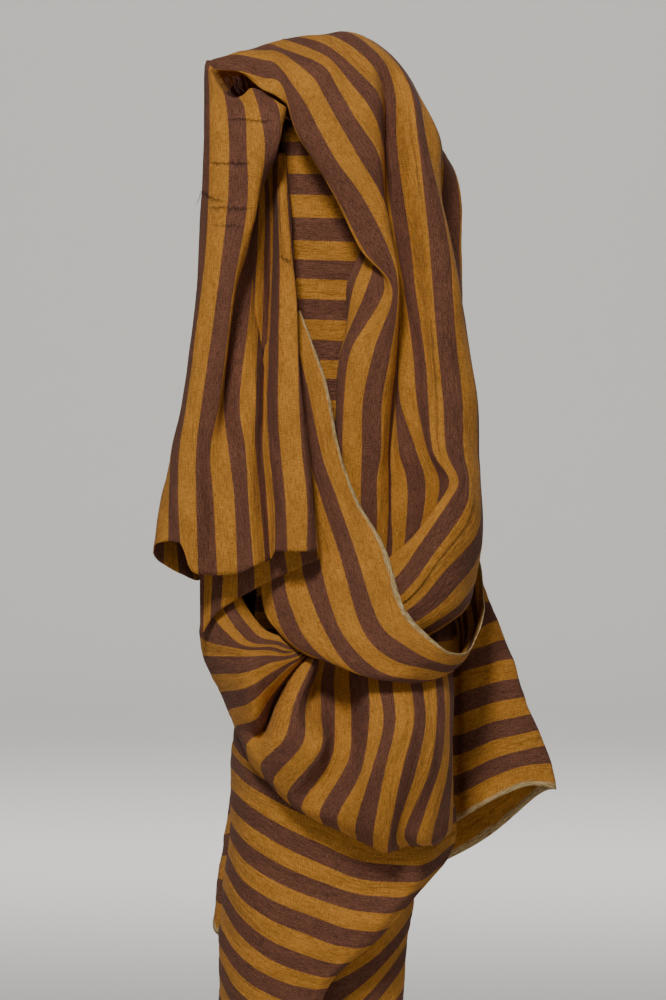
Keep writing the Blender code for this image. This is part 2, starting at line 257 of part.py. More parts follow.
# The wrap's inner turn is a tube open at both ends, from the front (0) round the right side (3) and
# the back (5) to the left side (7). Its outer turn is the skirt's front, from the left side to its
# edge at the right (12). Here the rows follow the stripes, and columns stand for stripe numbers.
wrapRows = [
    (-9.6, (0, -5.4, -1.6), (1, -3.6, -4.1), (2, 2.8, -4.2), (3, 6, 1), (4, 4, 5.4), (5, 0, 6.8),
     (6, -4, 5), (7, -6, 1)),
    (-11.4, (0, -6, -1.8), (1, -4.4, -4.5), (2, 3.2, -4.6), (3, 7, 1), (4, 5, 6), (5, 0, 7.6),
     (6, -5, 5.4), (7, -7, 1)),
    (-21.8, (0, -6.4, -2), (1, -4.4, -4.7), (2, 3.4, -4.7, -22), (3, 7.8, 1), (4, 5.4, 6.4), (5, 0, 8),
     (6, -5.4, 6), (7, -7.6, 1)),
    (-35.2, (0, -6.6, -2), (1, -4.2, -4.7), (2, 3.4, -4.7, -35.4), (3, 8.2, 1), (4, 5.8, 6.6),
     (5, 0, 8.2), (6, -5.8, 6.2), (7, -8.2, 1)),
    (-46.5, (0, -7, -2.4), (1, -4, -4.9), (2, 3.8, -4.9), (3, 9, 0.6), (4, 6.4, 6.8), (5, 0, 8.6),
     (6, -6.6, 6.4), (7, -9, 1)),
    (-58, (0, -8, -3), (1, -3.6, -6.2), (2, 4.4, -6.2), (3, 10.2, 0.4), (4, 7, 7), (5, 0, 9),
     (6, -7.4, 6.6), (7, -9.8, 0.8), (8, -9.4, -5), (9, -6, -8.8), (10, 1, -10), (11, 8, -8.2),
     (12, 11.4, -3.6)),
    (-70, (0, -8.4, -3), (1, -3.4, -6.6), (2, 4.8, -6.6), (3, 10.6, 0.4), (4, 7.4, 7), (5, 0, 9.2),
     (6, -7.8, 6.6), (7, -10.2, 0.8), (8, -9.4, -5, -71), (9, -6, -8, -73), (10, 1, -9, -76),
     (11, 8, -7.6, -77), (12, 11.6, -3.4, -75)),
    (-74, (0, -8.4, -3, -78), (1, -3.4, -6.8, -79), (2, 4.8, -7, -79), (3, 10.8, 0.4, -77),
     (4, 7.4, 7, -75), (5, 0, 9.2), (6, -7.8, 6.6, -73), (7, -10.5, 0.4), (8, -9.2, -5, -75.6),
     (9, -5.6, -8.4, -77), (9.6, -2, -9.2, -78.7), (10.4, 3.6, -9.2, -80.8), (11, 8, -7.8, -81.2),
     (12, 12.2, -3, -79)),
    (-77, (0, -8.4, -3, -83), (1, -3, -6.8, -84), (2, 4.8, -6.8, -83.6), (3, 10, 0.4, -81),
     (4, 7, 7, -79), (5, -0.4, 9.2, -78), (6, -8, 6.6, -76.6), (7, -10.6, 0.4), (8, -9.3, -5, -79.4),
     (9, -5.6, -8.4, -81.3), (9.6, -2, -9.3, -82.8), (10.4, 3.6, -9.3, -84.8), (11, 8, -8, -85),
     (12, 11.7, -3.4, -83.1)),
    (-80, (0, -8.4, -3, -90), (1, -2.6, -6.9, -92), (2, 4.4, -6.6, -90), (3, 8.4, 0, -85.6),
     (4, 6, 6.6, -83), (5, -1, 9, -82), (6, -8.4, 6.4, -80.4), (7, -10.7, 0.2), (8, -9.4, -5, -82.6),
     (9, -5.6, -8.5, -85.1), (9.6, -2.1, -9.4, -86.4), (10.4, 2.8, -9.5, -87.8), (11, 5.8, -9, -88),
     (12, 8, -7.4, -87.4)),
    (-82.5, (0, -8.4, -3, -96), (1, -2.8, -7, -98), (2, 3.8, -6.5, -94.6), (3, 7.8, -0.4, -89.4),
     (4, 5.4, 6.2, -87), (5, -1.6, 8.8, -86), (6, -8.8, 6.2, -84), (7, -11, 0), (8, -9.6, -5, -86),
     (9, -6, -8.4, -88.7), (9.6, -2.6, -9.4, -90.1), (10.4, 0.8, -9.6, -91.2), (11, 3, -9.4, -91.5),
     (12, 4.6, -8.6, -91.2)),
    (-86, (0, -8.4, -3.2, -101), (1, -3, -7, -102.6), (2, 3.4, -6.4, -98), (3, 7.3, -0.6, -92.7),
     (4, 5, 5.8, -90.6), (5, -2, 8.6, -90), (6, -9, 6, -88), (7, -11.4, 0), (8, -9.9, -5, -89.8),
     (9, -6.8, -8, -92.4), (9.6, -4.6, -9, -93.4), (10.4, -2.2, -9.4, -94.2), (11, -0.4, -9.4, -94.6),
     (12, 0.8, -8.8, -94.5)),
    (-90.5, (0, -8.6, -3.4, -105), (1, -3.2, -7, -106.4), (2, 3, -6.4, -102.4), (3, 7, -0.8, -97.6),
     (4, 4.8, 5.6, -95), (5, -2.2, 8.4, -94), (6, -9.2, 5.8, -92.4), (7, -11.7, 0),
     (8, -10.1, -5, -93.8), (9, -7.6, -7.8, -95.7), (10, -4.2, -9, -97), (11, -2.2, -9.2, -97.3),
     (12, -1.1, -8.8, -97.2)),
    (-96.5, (0, -8.8, -3.6, -109), (1, -3.6, -7, -110), (2, 2.6, -6.4, -107), (3, 6.8, -1, -103),
     (4, 4.4, 5.4, -100.4), (5, -2.4, 8.2, -99.4), (6, -9.4, 5.6, -98), (7, -11.8, 0),
     (8, -10.3, -5, -99.4), (9, -8, -7.6, -101.2), (10, -5.2, -8.7, -102.6), (11, -3.6, -8.9, -103),
     (12, -2.7, -8.5, -103.1)),
    (-105, (0, -9, -3.8, -114.5), (1, -4, -6.8, -115), (2, 2.2, -6.4, -113.4), (3, 6.5, -1.2, -110.6),
     (4, 4.2, 5.2, -108.6), (5, -2.6, 8, -107.6), (6, -9.6, 5.4, -106.4), (7, -11.9, 0),
     (8, -10.4, -5, -107.4), (9, -8.4, -7.4, -109), (10, -6.2, -8.4, -110.2), (11, -5.1, -8.5, -110.7),
     (12, -4.4, -8.2, -110.8)),
    (-115.5, (0, -9.2, -4, -122), (1, -4.4, -6.6, -122), (2, 1.8, -6.4, -122), (3, 6.2, -1.4, -120.4),
     (4, 4, 5, -118.8), (5, -2.8, 7.8, -117.8), (6, -9.8, 5.2, -116.8), (7, -12, 0),
     (8, -10.6, -5, -117.6), (9, -9, -7, -119), (10, -7.4, -7.9, -120.2), (11, -6.6, -8, -120.8),
     (12, -6.1, -7.8, -121)),
]

# The flap is the wrap's last turn: out from the right side, folded back and round behind to the left.
flapRows = [
    (-57, (0, 7.6, 0.8, -80), (4, 7.2, 0.8, -72), (8, 7, 0.8, -64.4), (12, 6.8, 0.8)),
    (-56.6, (0, 12, 4, -80), (4, 11.8, 4, -72.2), (8, 11.6, 4, -64.4), (12, 11.4, 4)),
    (-56, (0, 13.6, 2.4, -79), (4, 13.4, 2.6, -71.4), (8, 13, 3, -63.6), (12, 12.4, 3.4)),
    (-55.6, (0, 16.4, 1.6, -77.4), (4, 16, 1.8, -70.7), (8, 15.2, 2.6, -63), (12, 13.4, 3.4)),
    (-55, (0, 19.7, 2.2, -76.5), (4, 18.4, 2.4, -70.2), (8, 16.6, 3, -62.5), (12, 14.2, 4)),
    (-54.4, (0, 22.5, 3.6, -77), (1.3, 22, 3.7, -74.4), (2.3, 21.4, 3.8, -72.6), (4, 20.2, 3.8, -69.9),
     (6, 19, 3.9, -66.4), (8, 17.7, 4, -62.4), (12, 15.2, 5)),
    (-55, (0, 20.8, 5.4, -77.7), (4, 18.8, 5.6, -71), (8, 16.8, 5.6, -63.4), (12, 14.6, 6.2)),
    (-57, (0, 14.6, 8.4, -82.6), (4, 13.4, 8.4, -74.6), (8, 12.2, 8.6, -67), (12, 11.2, 8.8)),
    (-62, (0, 4, 11.4, -87.4), (4, 3.6, 11.6, -79.4), (8, 3.4, 11.6, -71), (12, 3, 11.8)),
    (-66.4, (0, -6, 10.8, -91.6), (4, -5.6, 10.8, -83.4), (8, -5.2, 10.8, -75), (12, -5, 10.8)),
    (-67.6, (0, -11.4, 6.4, -92.4), (4, -10.6, 6.6, -84.4), (8, -9.8, 7, -76.2), (12, -9.4, 7.2)),
    (-66, (0, -12.5, 2, -88.6), (2, -12, 2.2, -85), (4, -11.3, 2.8, -81.6), (8, -10.3, 4.2, -74),
     (12, -9.8, 4.8)),
    (-65, (0, -8.6, -1.6, -90.4), (4, -7.8, -1.2, -81.4), (8, -7.4, -0.8, -73), (12, -7, -0.4)),
]


def smoothThrough(knots, values, at, keepExtremes):
    """Values read from a smooth curve through a row of knots, with no overshoot if keepExtremes."""
    knots = np.asarray(knots, float)
    values = np.asarray(values, float)
    gaps = np.diff(knots)[:, None]
    rises = np.diff(values, axis=0) / gaps
    slopes = np.vstack([rises[:1], (rises[1:] * gaps[:-1] + rises[:-1] * gaps[1:]) / (gaps[1:] + gaps[:-1]),
                        rises[-1:]])
    if keepExtremes:
        product = rises[1:] * rises[:-1]
        total = np.where(product > 0, rises[1:] + rises[:-1], 1)
        slopes[1:-1] = np.where(product > 0, 2 * product / total, 0)
    i = np.clip(np.searchsorted(knots, at, side="right") - 1, 0, len(knots) - 2)
    f = ((np.asarray(at) - knots[i]) / gaps[i, 0])[:, None]
    return ((1 + 2 * f) * (1 - f) ** 2 * values[i] + f * f * (3 - 2 * f) * values[i + 1]
            + gaps[i] * f * (1 - f) * ((1 - f) * slopes[i] - f * slopes[i + 1]))


def sheetGrid(rows, stripes, stepsPerRow, first=0, last=None):
    """Points of a sheet: a grid over the given stripes and, between its rows, some steps."""
    reach = [(row[1][0], row[-1][0]) for row in rows]
    use = [i for i, (low, high) in enumerate(reach) if low <= stripes[0] and high >= stripes[-1]]
    sections = []
    for i in use:
        height, *folds = rows[i]
        points = [(x, y, own[0] if own else height) for _, x, y, *own in folds]
        sections.append(smoothThrough([fold[0] for fold in folds], points, stripes, True))
    sections = np.array(sections)
    last = use[-1] if last is None else last
    at = np.linspace(first, last, (last - first) * stepsPerRow + 1)
    flat = smoothThrough(use, sections.reshape(len(use), -1), at, False)
    return flat.reshape(len(at), len(stripes), 3) * cm


def addSheet(mesh, points):
    rows, columns = points.shape[:2]
    grid = bmesh.ops.create_grid(mesh, x_segments=columns - 1, y_segments=rows - 1, size=1)
    for vert in grid["verts"]:
        column = round((vert.co.x + 1) / 2 * (columns - 1))
        row = round((vert.co.y + 1) / 2 * (rows - 1))
        vert.co = points[row, column]


def makeSheet(name, grids, material):
    """One thick sheet from grids that share their edges."""
    mesh = bmesh.new()
    for points in grids:
        addSheet(mesh, points)
    bmesh.ops.remove_doubles(mesh, verts=mesh.verts, dist=0.00005)
    bmesh.ops.recalc_face_normals(mesh, faces=mesh.faces)
    data = bpy.data.meshes.new(name)
    mesh.to_mesh(data)
    mesh.free()
    data.shade_smooth()
    data.materials.append(material)
    sheet = bpy.data.objects.new(name, data)
    thick = sheet.modifiers.new("thickness", "SOLIDIFY")
    thick.thickness = clothThickness
    thick.offset = 0
    return sheet


def main():
    for thing in list(bpy.data.objects):
        bpy.data.objects.remove(thing)
    cloth = bpy.data.collections.new("striped_linen")
    joins = bpy.data.collections.new("joins")
    bpy.context.scene.collection.children.link(cloth)
    bpy.context.scene.collection.children.link(joins)
    linen = bpy.data.materials.new("linen")
    linen.use_nodes = True
    shader = linen.node_tree.nodes["Principled BSDF"]
    shader.inputs["Base Color"].default_value = ochre
    shader.inputs["Roughness"].default_value = 0.9
    shader.inputs["Metallic"].default_value = 0

    hood = makeSheet("striped_linen", [
        sheetGrid(hoodRows, hoodStripes, 2),
        sheetGrid(hoodRows, endStripes, 2, *endRows),
        sheetGrid(hoodRows, backStripes, 2, *backRows),
    ], linen)
    cloth.objects.link(hood)
    others = [
        makeSheet("wrap", [
            sheetGrid(wrapRows, np.linspace(0, 7, 15), 1),
            sheetGrid(wrapRows, np.linspace(7, 12, 11), 1, 6),
        ], linen),
        makeSheet("sling", [sheetGrid(slingRows, np.linspace(0, 7.5, 8), 1)], linen),
        makeSheet("pouch", [sheetGrid(pouchRows, np.arange(-0.5, 24.6, 1), 2)], linen),
        makeSheet("flap", [sheetGrid(flapRows, np.linspace(0, 12, 7), 2)], linen),
    ]
    for other in others:
        other.hide_render = True
        other.display_type = "WIRE"
        joins.objects.link(other)
        join = hood.modifiers.new(other.name, "BOOLEAN")
        join.operation = "UNION"
        join.object = other


main()
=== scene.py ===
import bmesh
import bpy
import numpy as np
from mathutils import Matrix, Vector


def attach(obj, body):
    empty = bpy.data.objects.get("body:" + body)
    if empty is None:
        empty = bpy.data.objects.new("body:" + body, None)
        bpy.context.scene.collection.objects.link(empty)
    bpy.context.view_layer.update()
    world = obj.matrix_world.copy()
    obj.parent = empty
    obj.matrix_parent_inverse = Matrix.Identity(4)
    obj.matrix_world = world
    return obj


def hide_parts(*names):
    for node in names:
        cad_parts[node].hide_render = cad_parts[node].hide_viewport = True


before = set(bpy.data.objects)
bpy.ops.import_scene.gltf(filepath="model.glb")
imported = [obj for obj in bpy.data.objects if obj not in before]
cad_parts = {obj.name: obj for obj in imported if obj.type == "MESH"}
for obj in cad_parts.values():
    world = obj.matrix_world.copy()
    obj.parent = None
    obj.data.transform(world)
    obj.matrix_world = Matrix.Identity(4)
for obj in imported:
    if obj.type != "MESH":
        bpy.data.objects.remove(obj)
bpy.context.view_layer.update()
print("frame loaded")

cm = 0.01


def hexColor(code):
    # an sRGB hex value as a linear colour
    parts = [int(code[i:i + 2], 16) / 255 for i in (1, 3, 5)]
    return [*(p / 12.92 if p <= 0.04045 else ((p + 0.055) / 1.055) ** 2.4 for p in parts), 1]


def addNode(tree, kind, settings=None, links=None, values=None):
    # settings are the node's own, links and values go to its sockets by name or number
    node = tree.nodes.new(kind)
    for name, value in (settings or {}).items():
        setattr(node, name, value)
    for name, value in (values or {}).items():
        node.inputs[name].default_value = value
    for name, socket in (links or {}).items():
        tree.links.new(socket, node.inputs[name])
    return node


# The tables are in centimetres. A row is one section of a sheet: its height, then an entry for
# each fold, (stripe, x, y) or (stripe, x, y, its own height). A stripe is 2 cm of cloth.

# From the raw end at the front left, up over the stand, down the right side and round to the front
# under the sling. Stripe 0 lies along the hood's front edge.
hoodRows = [
    # the raw end
    (-52.6, (-20, -13.5, -8.4, -61.3), (-18, -12, -8.9, -59), (-15.5, -8, -9.2, -56.4),
     (-12.5, -3.2, -10, -54.1), (-11.2, -1.5, -11.2, -53.2), (-10.5, -1.9, -12.4), (-9.5, -2.8, -13.2),
     (-8.5, -4.7, -12.8), (-7.5, -5.9, -11.7), (-6.6, -6.4, -11, -53.4), (-5.5, -7, -12, -53.7),
     (-4.5, -8.1, -13, -54.1), (-3.5, -9.7, -12.4, -54.8), (-2.5, -11.7, -11.9, -55),
     (-1.5, -13.6, -12.6, -54.9), (-1.15, -14.3, -12.9, -54.5), (-0.8, -14.9, -13.1, -52.8),
     (-0.5, -15.4, -13, -51.8), (0.5, -16.6, -12.2, -51.6), (0.9, -17.5, -11.5, -51.7),
     (1.3, -18.1, -10.6, -52), (1.4, -18.2, -10.3), (2.6, -17, -8, -54), (5, -13.8, -4.5, -55.6),
     (9, -13, 3), (13, -8.4, 8.2, -50)),
    (-47.5, (-20, -13.5, -8.2), (-16, -9, -9.2), (-13, -5, -9.8), (-11.2, -2.4, -10.9),
     (-10.5, -2.2, -12), (-9.5, -2.8, -13.1), (-8.5, -4.9, -12.8), (-7.5, -6, -11.4),
     (-6.5, -6.8, -10.6), (-5.5, -7.5, -11.4), (-4.5, -8.6, -12.8), (-3.5, -10, -12.2),
     (-2.5, -12.1, -11.9), (-1.5, -13.8, -12.9), (-0.5, -15.6, -12.6), (0.5, -16.5, -11.3),
     (1.6, -17.4, -9), (5, -14.8, -3.4), (9, -12.8, 3.6), (13, -8, 8.6, -46.5)),
    (-42.5, (-20, -13, -8), (-16, -9, -9), (-13, -5, -9.6), (-11.2, -2.9, -10.4), (-10.5, -2.7, -11.6),
     (-9.5, -3.3, -12.5), (-8.5, -5.4, -12), (-7.5, -6.5, -10.8), (-6.5, -7.2, -10.2),
     (-5.5, -7.9, -11.4), (-4.5, -8.9, -12.2), (-3.5, -10.6, -11.4), (-2.5, -12.4, -12),
     (-1.5, -13.8, -12.4), (-0.5, -15.5, -11.5), (0.7, -16.3, -9.6), (2, -15.8, -7.4), (5, -14.4, -2.8),
     (9, -12.4, 4.2), (13, -7.4, 9, -44)),
    (-37.5, (-20, -12.5, -6.8), (-16, -9, -7.6), (-13, -6, -7.4), (-11, -3.9, -9.2), (-10.2, -3.3, -11),
     (-9.5, -3.6, -12), (-8.5, -5.6, -11), (-7.8, -6.5, -9.4), (-7, -7, -8.4), (-6.2, -7.3, -9),
     (-5.5, -7.9, -10.6), (-4.5, -9.5, -10.9), (-3.5, -11.1, -9.4), (-3, -11.3, -10.6),
     (-2.4, -11.6, -12.2), (-1.5, -13.2, -12.2), (-0.5, -14.7, -11), (0.5, -15.2, -9.2),
     (2, -14.9, -6.8), (5, -13.8, -2.2), (9, -12, 4.6, -39), (13, -7, 9.4, -41)),
    (-27.5, (-20, -12, -5.6), (-16, -8.5, -6.4), (-13, -6.2, -4.8), (-11, -5.2, -5.6),
     (-10.2, -4.3, -7.2), (-9.5, -3.9, -8.9), (-8.5, -5.6, -8.2), (-7.4, -6.5, -5.4), (-6.6, -7, -4),
     (-5.8, -7.5, -4.4), (-5.2, -8, -5.8), (-4.5, -8.5, -7), (-3.5, -10.3, -7.9), (-2.9, -10.1, -10),
     (-2.5, -10.3, -11.6), (-1.5, -11.8, -11.2), (-0.5, -13.4, -10), (0.5, -13.9, -8.2),
     (2, -13.7, -5.8), (5, -13, -1.2, -29), (9, -11.2, 5.2, -31), (13, -6.2, 9.8, -34)),
    (-18.5, (-20, -11, -4.6), (-16, -8, -5.2), (-12, -5.8, -4.2), (-10.5, -5.3, -4.8),
     (-9.8, -4.5, -6.2), (-9.2, -5.2, -7.3), (-8.5, -5.7, -6.4), (-7.6, -6.1, -4.6), (-6.6, -6.9, -3.2),
     (-5.4, -7.6, -3.2), (-4.4, -8.1, -5), (-3.6, -7.8, -8.2), (-3.1, -7.8, -9.9), (-2.5, -8.8, -10.4),
     (-1.5, -10.8, -9.9), (-0.5, -12.7, -8.8), (0.4, -13.5, -7.2), (2, -13.2, -4.6),
     (5, -12.6, -0.3, -21), (9, -10.6, 6, -25), (13, -5.5, 10, -29)),
    (-12.5, (-20, -10.5, -3.6), (-16, -8, -4), (-12, -6.4, -3), (-10.5, -5.4, -3.6), (-9.5, -5, -4.2),
     (-8, -6, -4), (-6, -6.6, -4.2), (-5, -5.9, -7), (-4.5, -5.7, -9.5), (-3.5, -7, -9.9),
     (-2.5, -8.8, -9.8), (-1.5, -10.6, -9.3), (-0.5, -12.6, -8.2), (0.5, -13.2, -6.6), (2, -13, -4),
     (5, -12.2, 0.5, -16), (9, -10, 6.5, -20.5), (13, -5, 10, -25)),
    (-8.5, (-20, -10, -3), (-14, -7, -3.4), (-9.5, -5, -5), (-7, -5.2, -6.6), (-5.3, -4.9, -8.2),
     (-4.5, -5.6, -8.9), (-3.5, -7.6, -8.9), (-2.5, -9, -8.6), (-1.5, -10.8, -8.2), (-0.5, -12.6, -7.2),
     (0.5, -13.2, -5.6), (2, -12.9, -3.2, -9.2), (5, -12, 1.5, -12), (9, -9.5, 7, -17),
     (13, -4.5, 9.8, -22)),
    # the corner at the left: the cloth turns up behind its own front edge, as a small deep pocket,
    # then runs over the top, turning under behind the front edge
    (-4.2, (-5.5, -5.2, -7.3, -8.4), (-4.5, -6.7, -7.8, -7.1), (-3.5, -8.3, -8.2, -6.3),
     (-2.8, -9.3, -8, -7), (-2.2, -10, -7.9, -7.2), (-1.6, -11, -7.4, -6.6), (-1, -12.4, -6.8, -4.7),
     (-0.5, -12.7, -6, -4.1), (0.5, -13.1, -4.4, -3.7), (2, -12.8, -1.6, -4.4), (5, -11.2, 3, -7.5),
     (9, -8.5, 8, -13), (13, -3.5, 10.2, -19)),
    (-5, (-5.5, -5, -6.4, -8.8), (-4.5, -6.4, -5.6, -8), (-3.5, -8, -4.4, -7.2),
     (-2.8, -9.1, -3.6, -7.5), (-2.2, -9.8, -3.4, -7.5), (-1.6, -10.8, -4, -6.7),
     (-1, -11.9, -5.4, -4.8), (-0.5, -12.1, -5.6, -4.15), (0.5, -12.5, -4, -3.2), (2, -12, -1.8, -3.7),
     (5, -10.6, 3.2, -7), (9, -8, 8, -12.6), (13, -3.2, 10.3, -18.8)),
    (-3.6, (-5.5, -4.8, -5.4, -9.1), (-4.5, -6.2, -3.4, -8.4), (-3.5, -7.7, -1.6, -7.2),
     (-2.5, -9.1, -0.8, -6.4), (-1.5, -10.3, -1.8, -5.6), (-0.9, -11.1, -4, -4.3),
     (-0.5, -11.4, -5.2, -4.2), (0.5, -11.6, -3.6, -2.9), (1.5, -11.2, -1.6, -3.1),
     (3, -10.6, 1.2, -4.2), (5, -9.6, 3.8, -6.6), (9, -7, 8.6, -12), (13, -2.8, 10.4, -18.5)),
    (-3.1, (-5.5, -4.4, -5, -9.3), (-4.5, -5.8, -3.2, -8.6), (-3.5, -7, -2.4, -7.4),
     (-2.5, -8.4, -2.6, -6), (-1.5, -9.4, -3.8, -4.6), (-0.65, -9.5, -6.2, -4.5),
     (0.5, -9.8, -4.6, -2.7), (1.5, -9.6, -2.6, -2.25), (2.5, -9.2, -0.6, -2.3), (3.5, -8.8, 1.4, -3.2),
     (5, -7.8, 4.8, -5.6), (9, -5.5, 9.2, -11), (13, -2, 10.6, -18)),
    (-2.5, (-5.5, -3.4, -4.6, -9.4), (-4.5, -4.6, -4.3, -8.4), (-3.5, -5.8, -4.4, -7.2),
     (-2.5, -6.5, -5, -6.3), (-1.7, -6.9, -6.8, -6.1), (-1.1, -7.3, -8.3, -6.4),
     (-0.5, -7.2, -7.6, -5.2), (0.5, -7.3, -6.2, -3.3), (1.5, -7.3, -4.2, -2.25),
     (2.5, -6.8, -2.2, -1.45), (3.2, -5.8, -0.8, -1.1), (4, -5.4, 0.8, -1.4), (6, -4.6, 4.8, -4),
     (9, -3.2, 9, -9.5), (13, -0.6, 10.8, -17)),
    (-2, (-5.5, -2.2, -5.4, -9.8), (-4.5, -3.2, -5.4, -9.2), (-3.5, -4.2, -5.4, -8.2),
     (-2.5, -4.9, -6.2, -7.3), (-1.9, -5.2, -7.6, -7), (-1.35, -5.5, -9, -7.3),
     (-0.5, -5.6, -8.6, -5.65), (0.5, -5.8, -7.2, -3.9), (1.5, -5.4, -5.6, -2.65),
     (2.5, -5.1, -4, -2.15), (3.5, -4.9, -1.8, -1.1), (4.2, -4.4, -0.4, -0.75), (5, -3.8, 1, -0.5),
     (7, -2.6, 5, -3.4), (9.5, -1.2, 8.8, -8), (13, 0.6, 10.9, -15.5)),
    (-0.9, (-5.5, -0.4, -6, -10.4), (-4.5, -1.2, -6.2, -10), (-3.5, -2.2, -6.5, -9.6),
     (-2.5, -3.2, -6.9, -9), (-1.5, -4, -7.6, -8.6), (-0.7, -4.6, -8.8, -8.2), (0.5, -3.7, -9, -6.7),
     (1.5, -2.3, -8.4, -5.1), (2.5, -1.3, -7, -3.9), (3.5, -0.8, -5.6, -3), (4.5, -0.8, -4.2, -1.8),
     (5.5, -0.4, -2.2, -0.5), (6.5, 0.6, 0, 0.1), (8, 1.6, 2.6, -0.5), (10, 2.8, 6.4, -3),
     (13, 3.6, 10.4, -10)),
    (-4, (-5.5, 0.6, -6.1, -11.4), (-4.5, -0.4, -6.4, -11), (-3.5, -1.4, -6.6, -10.6),
     (-2.5, -2.4, -7, -10.2), (-1.5, -3.4, -7.6, -9.8), (-0.65, -4.2, -8.8, -9.7),
     (0.5, -2.7, -9.4, -8.3), (1.5, -1, -9.4, -7.3), (2.5, 0.3, -8.8, -6.3), (3.5, 1.5, -8.2, -5.7),
     (4.5, 2.5, -7.4, -4.8), (5.5, 3.5, -6.2, -3.6), (6.5, 4.5, -5, -2.8), (7.5, 5, -3.2, -2.1),
     (8.5, 5.4, -1.2, -2.2), (10, 5.8, 2, -3.5), (13, 6.4, 7.4, -8.4), (16, 4.4, 10.2, -14),
     (19, 0.8, 11, -20)),
    # down the right side, with a deep pleat beside stripe 6
    (-6.5, (-5.5, 1.4, -6.1, -12.6), (-4.5, 0.4, -6.4, -12.3), (-3.5, -0.6, -6.7, -12),
     (-2.5, -1.6, -7.1, -11.7), (-1.5, -2.6, -7.6, -11.4), (-0.65, -3.5, -8.9, -11.3),
     (0.5, -1.3, -9.8, -11), (1.5, 0.6, -10, -10.2), (2.5, 2, -9.8, -9.3), (3.5, 3.7, -9.2, -8.7),
     (4.3, 4.4, -8.4, -7.8), (5, 4.7, -6.6), (5.5, 4.9, -5.6, -7), (6.5, 6, -5.8, -6.3),
     (7.5, 7.5, -5.8, -5.9), (8.5, 8.2, -4, -6.2), (9.5, 8.5, -2.4, -6.8), (11, 8.5, 0.4, -8),
     (13, 8, 4.4, -10.5), (16, 5.5, 9, -15), (19, 2, 10.8, -20)),
    (-12.5, (-5.5, 2.8, -5.8, -14.6), (-4.5, 1.8, -6.2, -14.6), (-3.5, 0.8, -6.6, -14.6),
     (-2.5, -0.1, -7, -14.5), (-1.5, -1, -7.6, -14.4), (-0.65, -1.7, -9, -14.3), (0.5, 0.3, -10, -13.8),
     (1.5, 2.5, -10.3, -13.5), (2.3, 4.2, -9.6, -13.2), (3.2, 4.8, -8.6), (4.2, 5, -6.4, -12),
     (5.2, 4.9, -5.4, -11.7), (6.5, 6.2, -6.2, -11.5), (7, 7.3, -7.4, -11.4), (7.5, 8.3, -7.8, -11.3),
     (8.5, 9.2, -6.8, -11.3), (9.5, 10.6, -5.2, -11.4), (10.3, 10.8, -3.6, -12), (11, 10.4, -2),
     (12, 11.4, -0.4, -13), (13, 11.8, 1.6, -13.6), (15, 10.6, 6, -15), (19, 4, 10.6, -19)),
    (-17.5, (-5.5, 4.8, -6), (-4.5, 4, -6.4), (-3.5, 3.2, -6.8), (-2.5, 2.3, -7.2), (-1.5, 1.2, -7.8),
     (-0.75, 0.1, -9), (0.5, 2.9, -10.1), (1.5, 4.8, -9.6), (2.3, 5, -8.2), (3.5, 5.1, -6.6),
     (4.7, 5.2, -5.8), (5.5, 5.5, -5.8), (6.5, 7, -6.6), (7, 8, -7.8), (7.5, 9, -8.6),
     (8.5, 10.6, -7.8), (9.2, 10.8, -6), (10, 10.2, -3.8), (11, 10.2, -1.4), (12, 11.6, 0.2),
     (12.7, 12.9, 0.6), (14, 12.6, 2.8), (16, 10.6, 6.4, -18.5), (19, 4.6, 10, -20)),
    (-22.5, (-5.5, 3.2, -6), (-4.5, 2.6, -6.4), (-3.5, 3.2, -6.9), (-2.5, 3.9, -7.6), (-1.5, 3.3, -8.6),
     (-0.8, 2.5, -9.4), (0.5, 5.4, -10.2), (1, 5.9, -9.6), (2.3, 5.9, -8.2), (3.5, 5.9, -6.6),
     (4.7, 6, -5.8), (5.5, 6.3, -5.8), (6.5, 7.7, -6.6), (7, 8.6, -7.9), (7.5, 9.5, -8.8),
     (8.5, 11.5, -8.2), (9.3, 11.9, -6.6), (10.2, 11.4, -4.2), (11.2, 11.4, -1.8), (12.2, 12.4, 0),
     (13, 12.9, 0.8), (14.5, 12.2, 3.6), (16.5, 9.8, 7, -23), (19, 4.8, 9.8, -24)),
    (-26.5, (-5.5, 2.6, -6), (-4.6, 1.2, -7.4), (-3.5, 1.8, -8.4), (-2.5, 3.1, -8.8), (-1.5, 4.9, -9),
     (-0.8, 5.5, -9.6), (0.5, 6.3, -9.9), (1.2, 6.5, -9.2), (2.3, 6.4, -8), (3.5, 6.4, -6.6),
     (4.7, 6.6, -6), (5.5, 7, -6.2), (6.5, 8.1, -6.8), (7, 9, -8), (7.5, 9.8, -8.9), (8.5, 11.8, -8.6),
     (9.3, 12.6, -6.8), (10.2, 12.6, -4.8), (11.2, 12.6, -3), (12.2, 12.8, -1.2), (13, 12.9, 0.6),
     (14.5, 12.2, 3.8), (16.5, 9.7, 7.2), (19, 4.8, 9.8, -28)),
    (-32.5, (-5.5, 2.8, -5.6), (-4.5, 1.6, -6.2), (-3.5, 0.8, -7), (-2.7, 0.6, -8), (-1.5, 1.6, -8.9),
     (-0.5, 3.9, -9.4), (0.5, 5.6, -9.2), (1.2, 6.2, -8.2), (2.5, 6.3, -7), (3.5, 6.2, -6.4),
     (4.5, 6.4, -6.6), (5.5, 7.8, -6.6), (6.5, 9, -7.6), (7.5, 10.3, -9.4), (8.5, 12.2, -8.6),
     (9.5, 13.5, -6.4), (11, 13.6, -3), (13, 13, 0.8), (14.5, 12.2, 3.8), (16.5, 9.9, 7),
     (19, 5.2, 9.8, -33)),
    (-37.5, (-5.5, 2.5, -5.4), (-4.5, 1.4, -6), (-3.5, 0.6, -6.8), (-2.4, 0.2, -7.8), (-1.5, 0.9, -8.6),
